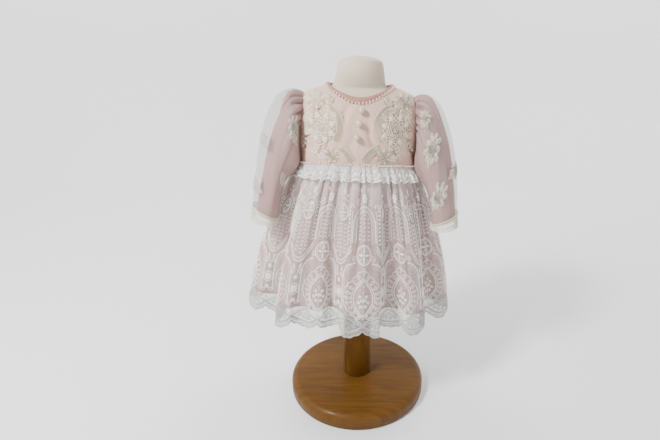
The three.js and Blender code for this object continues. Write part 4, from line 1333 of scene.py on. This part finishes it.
def border_stitches(thread, x0):
    """The worked border: scallops with eyelets, a broad band, crossing bands and scrolls."""
    steps = np.linspace(x0, x0 + REPEAT, 241)
    thread.cord(flat_map(steps, hem_rise(HEM_AXIS + steps / HEM_LENGTH) + 1.3), 2.5, 0.9)
    for rise, width in ((9.2, 1.1), (13.0, 3.8)):
        thread.cord(flat_map(steps[::2], hem_band(steps[::2], rise)), width, 0.8)
    scallop = HEM_LENGTH / HEM_SCALLOPS
    for x in np.arange(x0 + scallop / 2, x0 + REPEAT, scallop):
        thread.cord(ring(x, float(hem_band(x, 5.9)), 3.4, 2.5, 14), 1.5, 0.9, closed=True)
    reach = REPEAT / 4
    share = np.linspace(0, 1, 15)
    for notch in (x0, x0 + REPEAT / 2):
        for hand in (-1, 1):
            rising = flat_map(notch + hand * reach * share, HEM_POINT_DROP + 13 + 13 * share ** 1.4)
            thread.cord(rising, 3.0, 0.8)
            thread.cord(rising + [0, 4.4], 1.2, 0.7)
        coil = (reach * 0.55, 25.5, 4.6, 1.5, 90, -1, 1.7, 0.9)
        add_pairs(thread, notch, [coil], [(reach * 0.72, 18.5, 50, 7, 3.0)])
    for point in (x0 + reach, x0 + 3 * reach):
        thread.cord(ring(point, 25, 3.4, 5.0, 18), 1.7, 0.9, closed=True)
        thread.cord(ring(point, 25, 6.0, 8.4, 24), 1.2, 0.8, closed=True)
        add_flower(thread, point, 47, 5, 6, 0)


def hem_patches(thread, x0):
    """Three closely worked bands of net along the hem."""
    steps = np.linspace(x0, x0 + REPEAT, 97)
    for rise, width in ((5.5, 8.5), (14.0, 6.0), (30.0, 22.0)):
        thread.cord(flat_map(steps, hem_band(steps, rise)), width, 0.05)


STITCHING = [
    ("medallions", medallion_column, WHITE_THREAD, 0.25),
    ("rosettes", rosette_column, WHITE_THREAD, 0.25),
    ("border", border_stitches, HEM_THREAD, 0.25),
    ("patches", dense_patches, DENSE_NET, 0.12),
    ("hem_patches", hem_patches, HEM_NET, 0.12),
]
for part, draw, material, base in STITCHING:
    thread = Thread(lace_surface, base)
    for i in range(REPEATS):
        draw(thread, (i - REPEATS / 2) * REPEAT)
    stitched = build_threads(f"skirt_embroidery_{part}", [thread])
    place(stitched, material, ())


# Lace edging at the waist

TRIM_LENGTH = 900
TRIM_DEPTH = 27
TRIM_SCALLOPS = 40
TRIM_PUFFS = 36
# How far down the skirt the edging hangs, as a share of its length, and its head above the seam in mm
TRIM_DROP = 0.085
TRIM_HEAD = 2.4
TRIM_COLS = 1200
WAIST_BEADS = 112
# Where the sleeves lie on the edging: place round the cloth and how much of the puffs they flatten
TRIM_PRESSED = [(0.035, 0.9), (1.035, 0.9), (0.46, 0.6)]


def trim_press(cloth):
    return sum(share * np.exp(-(((cloth - at) / 0.05) ** 2)) for at, share in TRIM_PRESSED)


def trim_at(cloth, share, out):
    """Gathered edging from the waist seam: share runs 0 to 1 down it."""
    turn = TRIM_PUFFS * cloth + 0.35 * np.sin(TURN * 7 * cloth) + 0.2 * np.sin(TURN * 17 * cloth)
    wave = 2 * np.abs(np.cos(np.pi * turn)) ** 0.8 - 1.2
    free = share ** 0.6
    puff = 5.0 * free + 4.0 * free * wave + 0.8 * free * ripple(cloth * 330, share * 2, 12)
    p = skirt_at(cloth, TRIM_DROP * share, 1.4 + puff * (1 - trim_press(cloth)) + out)
    p[..., 2] += TRIM_HEAD * (1 - share)
    return p


def trim_edge(cloth):
    return 1.0 - 0.16 * (1 - np.abs(np.sin(np.pi * TRIM_SCALLOPS * cloth)))


def trim_shell(rows=18):
    cloth = np.arange(TRIM_COLS) / TRIM_COLS
    share = np.linspace(0, 1, rows)[:, None] * trim_edge(cloth)
    points = trim_at(cloth, share, 0.0)
    flat = flat_map(cloth * TRIM_LENGTH, share * TRIM_DEPTH)
    return add_grid("waist_trim_net", points, uv=flat)


def trim_stitches():
    """A corded edge, and an arch, flowers and leaves for each scallop."""
    thread = Thread(lambda x, z, out: trim_at(x / TRIM_LENGTH, z / TRIM_DEPTH, out), 0.3)
    x = np.linspace(0, TRIM_LENGTH, 961)[:-1]
    thread.cord(flat_map(x, trim_edge(x / TRIM_LENGTH) * TRIM_DEPTH - 0.8), 2.2, 0.9, closed=True)
    scallop = TRIM_LENGTH / TRIM_SCALLOPS
    for i in range(TRIM_SCALLOPS):
        middle = (i + 0.5) * scallop
        thread.cord(arc(middle, 12, 8.4, 11, 8, 172, 14), 1.3, 0.8)
        add_flower(thread, middle, 17.5, 5.4, 6, 30)
        add_flower(thread, middle + scallop / 2, 14.5, 3.6, 5, 90)
        add_leaf(thread, middle - 4, 12, 240, 6, 2.6)
        add_leaf(thread, middle + 4, 12, 300, 6, 2.6)
    return build_threads("waist_trim_stitches", [thread])


trim = place(trim_shell(), TRIM_NET, ["waist_lace_trim"])
place(trim_stitches(), TRIM_THREAD, ())
bead_places = trim_at(np.arange(WAIST_BEADS) / WAIST_BEADS, 0.02, 1.5) + [0, 0, 0.8]
place(bead_row("waist_beads", bead_places, 1.9), BEAD, ())


# Floor, light and camera

FLOOR_RADIUS = 2300.0
FLOOR_SWEEP = 900.0
FLOOR_Z = -0.6
WALL_TOP = 3600
SKY_STRENGTH = 0.04
AIM = (0, 0, 0.42)
# Lamps: name, place and aim in metres, size and power
LAMPS = [("key", (-1.15, -1.0, 1.7), AIM, 0.34, 72), ("fill", (0.9, -1.5, 1.0), AIM, 0.7, 3)]
# Lamps on the wall: reach and height of the lamp and of its aim in metres, size and the power of each
WALL_LAMP = {"reach": 1.7, "height": 2.9, "aim_reach": 3.0, "aim_height": 0.7, "size": 1.2}
WALL_LAMP_POWERS = (80, 80, 1, 1)
# The picture: its width and height, the focal length and the point on the view's axis, all in pixels
PICTURE = {"width": 660.0, "height": 440.0, "focal": 424.0, "axis_x": 357.0, "axis_y": 229.0}
SENSOR = 36.0
CAMERA_PLACE = (0.0, -0.762, 0.632)
CAMERA_PITCH = 20


def backdrop():
    """A pale round floor that sweeps up to a wall on every side."""
    profile = [(0.5, FLOOR_Z)]
    for bend in np.radians(np.linspace(0, 90, 13)):
        rise = FLOOR_SWEEP * (1 - np.cos(bend))
        profile.append((FLOOR_RADIUS + FLOOR_SWEEP * np.sin(bend), rise + FLOOR_Z))
    profile.append((FLOOR_RADIUS + FLOOR_SWEEP, WALL_TOP))
    floor = lathe("floor", profile, 96)
    floor.data.materials.append(FLOOR)


def area_light(name, location, target, size, power):
    light = bpy.data.lights.new(name, "AREA")
    light.size = size
    light.energy = power
    obj = bpy.data.objects.new(name, light)
    bpy.context.collection.objects.link(obj)
    obj.location = location
    aim = np.array(target) - np.array(location)
    tilt = math.atan2(aim[2], math.hypot(aim[0], aim[1]))
    obj.rotation_euler = (math.pi / 2 + tilt, 0, math.atan2(aim[1], aim[0]) - math.pi / 2)


def studio():
    """A faint even sky, a key and a fill lamp, and four lamps on the wall."""
    world = bpy.context.scene.world or bpy.data.worlds.new("studio")
    bpy.context.scene.world = world
    world.use_nodes = True
    sky = world.node_tree.nodes["Background"]
    sky.inputs["Color"].default_value = (1.0, 1.0, 1.0, 1)
    sky.inputs["Strength"].default_value = SKY_STRENGTH
    for lamp in LAMPS:
        area_light(*lamp)
    for i, power in enumerate(WALL_LAMP_POWERS):
        turn = 45 + 90 * i
        location = (*polar(0, 0, WALL_LAMP["reach"], turn), WALL_LAMP["height"])
        target = (*polar(0, 0, WALL_LAMP["aim_reach"], turn), WALL_LAMP["aim_height"])
        area_light(f"wall_{i + 1}", location, target, WALL_LAMP["size"], power)


def camera():
    data = bpy.data.cameras.new("camera")
    data.sensor_width = SENSOR
    data.lens = PICTURE["focal"] / PICTURE["width"] * SENSOR
    data.shift_x = (PICTURE["width"] / 2 - PICTURE["axis_x"]) / PICTURE["width"]
    data.shift_y = (PICTURE["axis_y"] - PICTURE["height"] / 2) / PICTURE["width"]
    data.clip_start = 0.02
    obj = bpy.data.objects.new("camera", data)
    bpy.context.collection.objects.link(obj)
    obj.location = CAMERA_PLACE
    obj.rotation_euler = (math.radians(90 - CAMERA_PITCH), 0, 0)
    bpy.context.scene.camera = obj


backdrop()
studio()
camera()
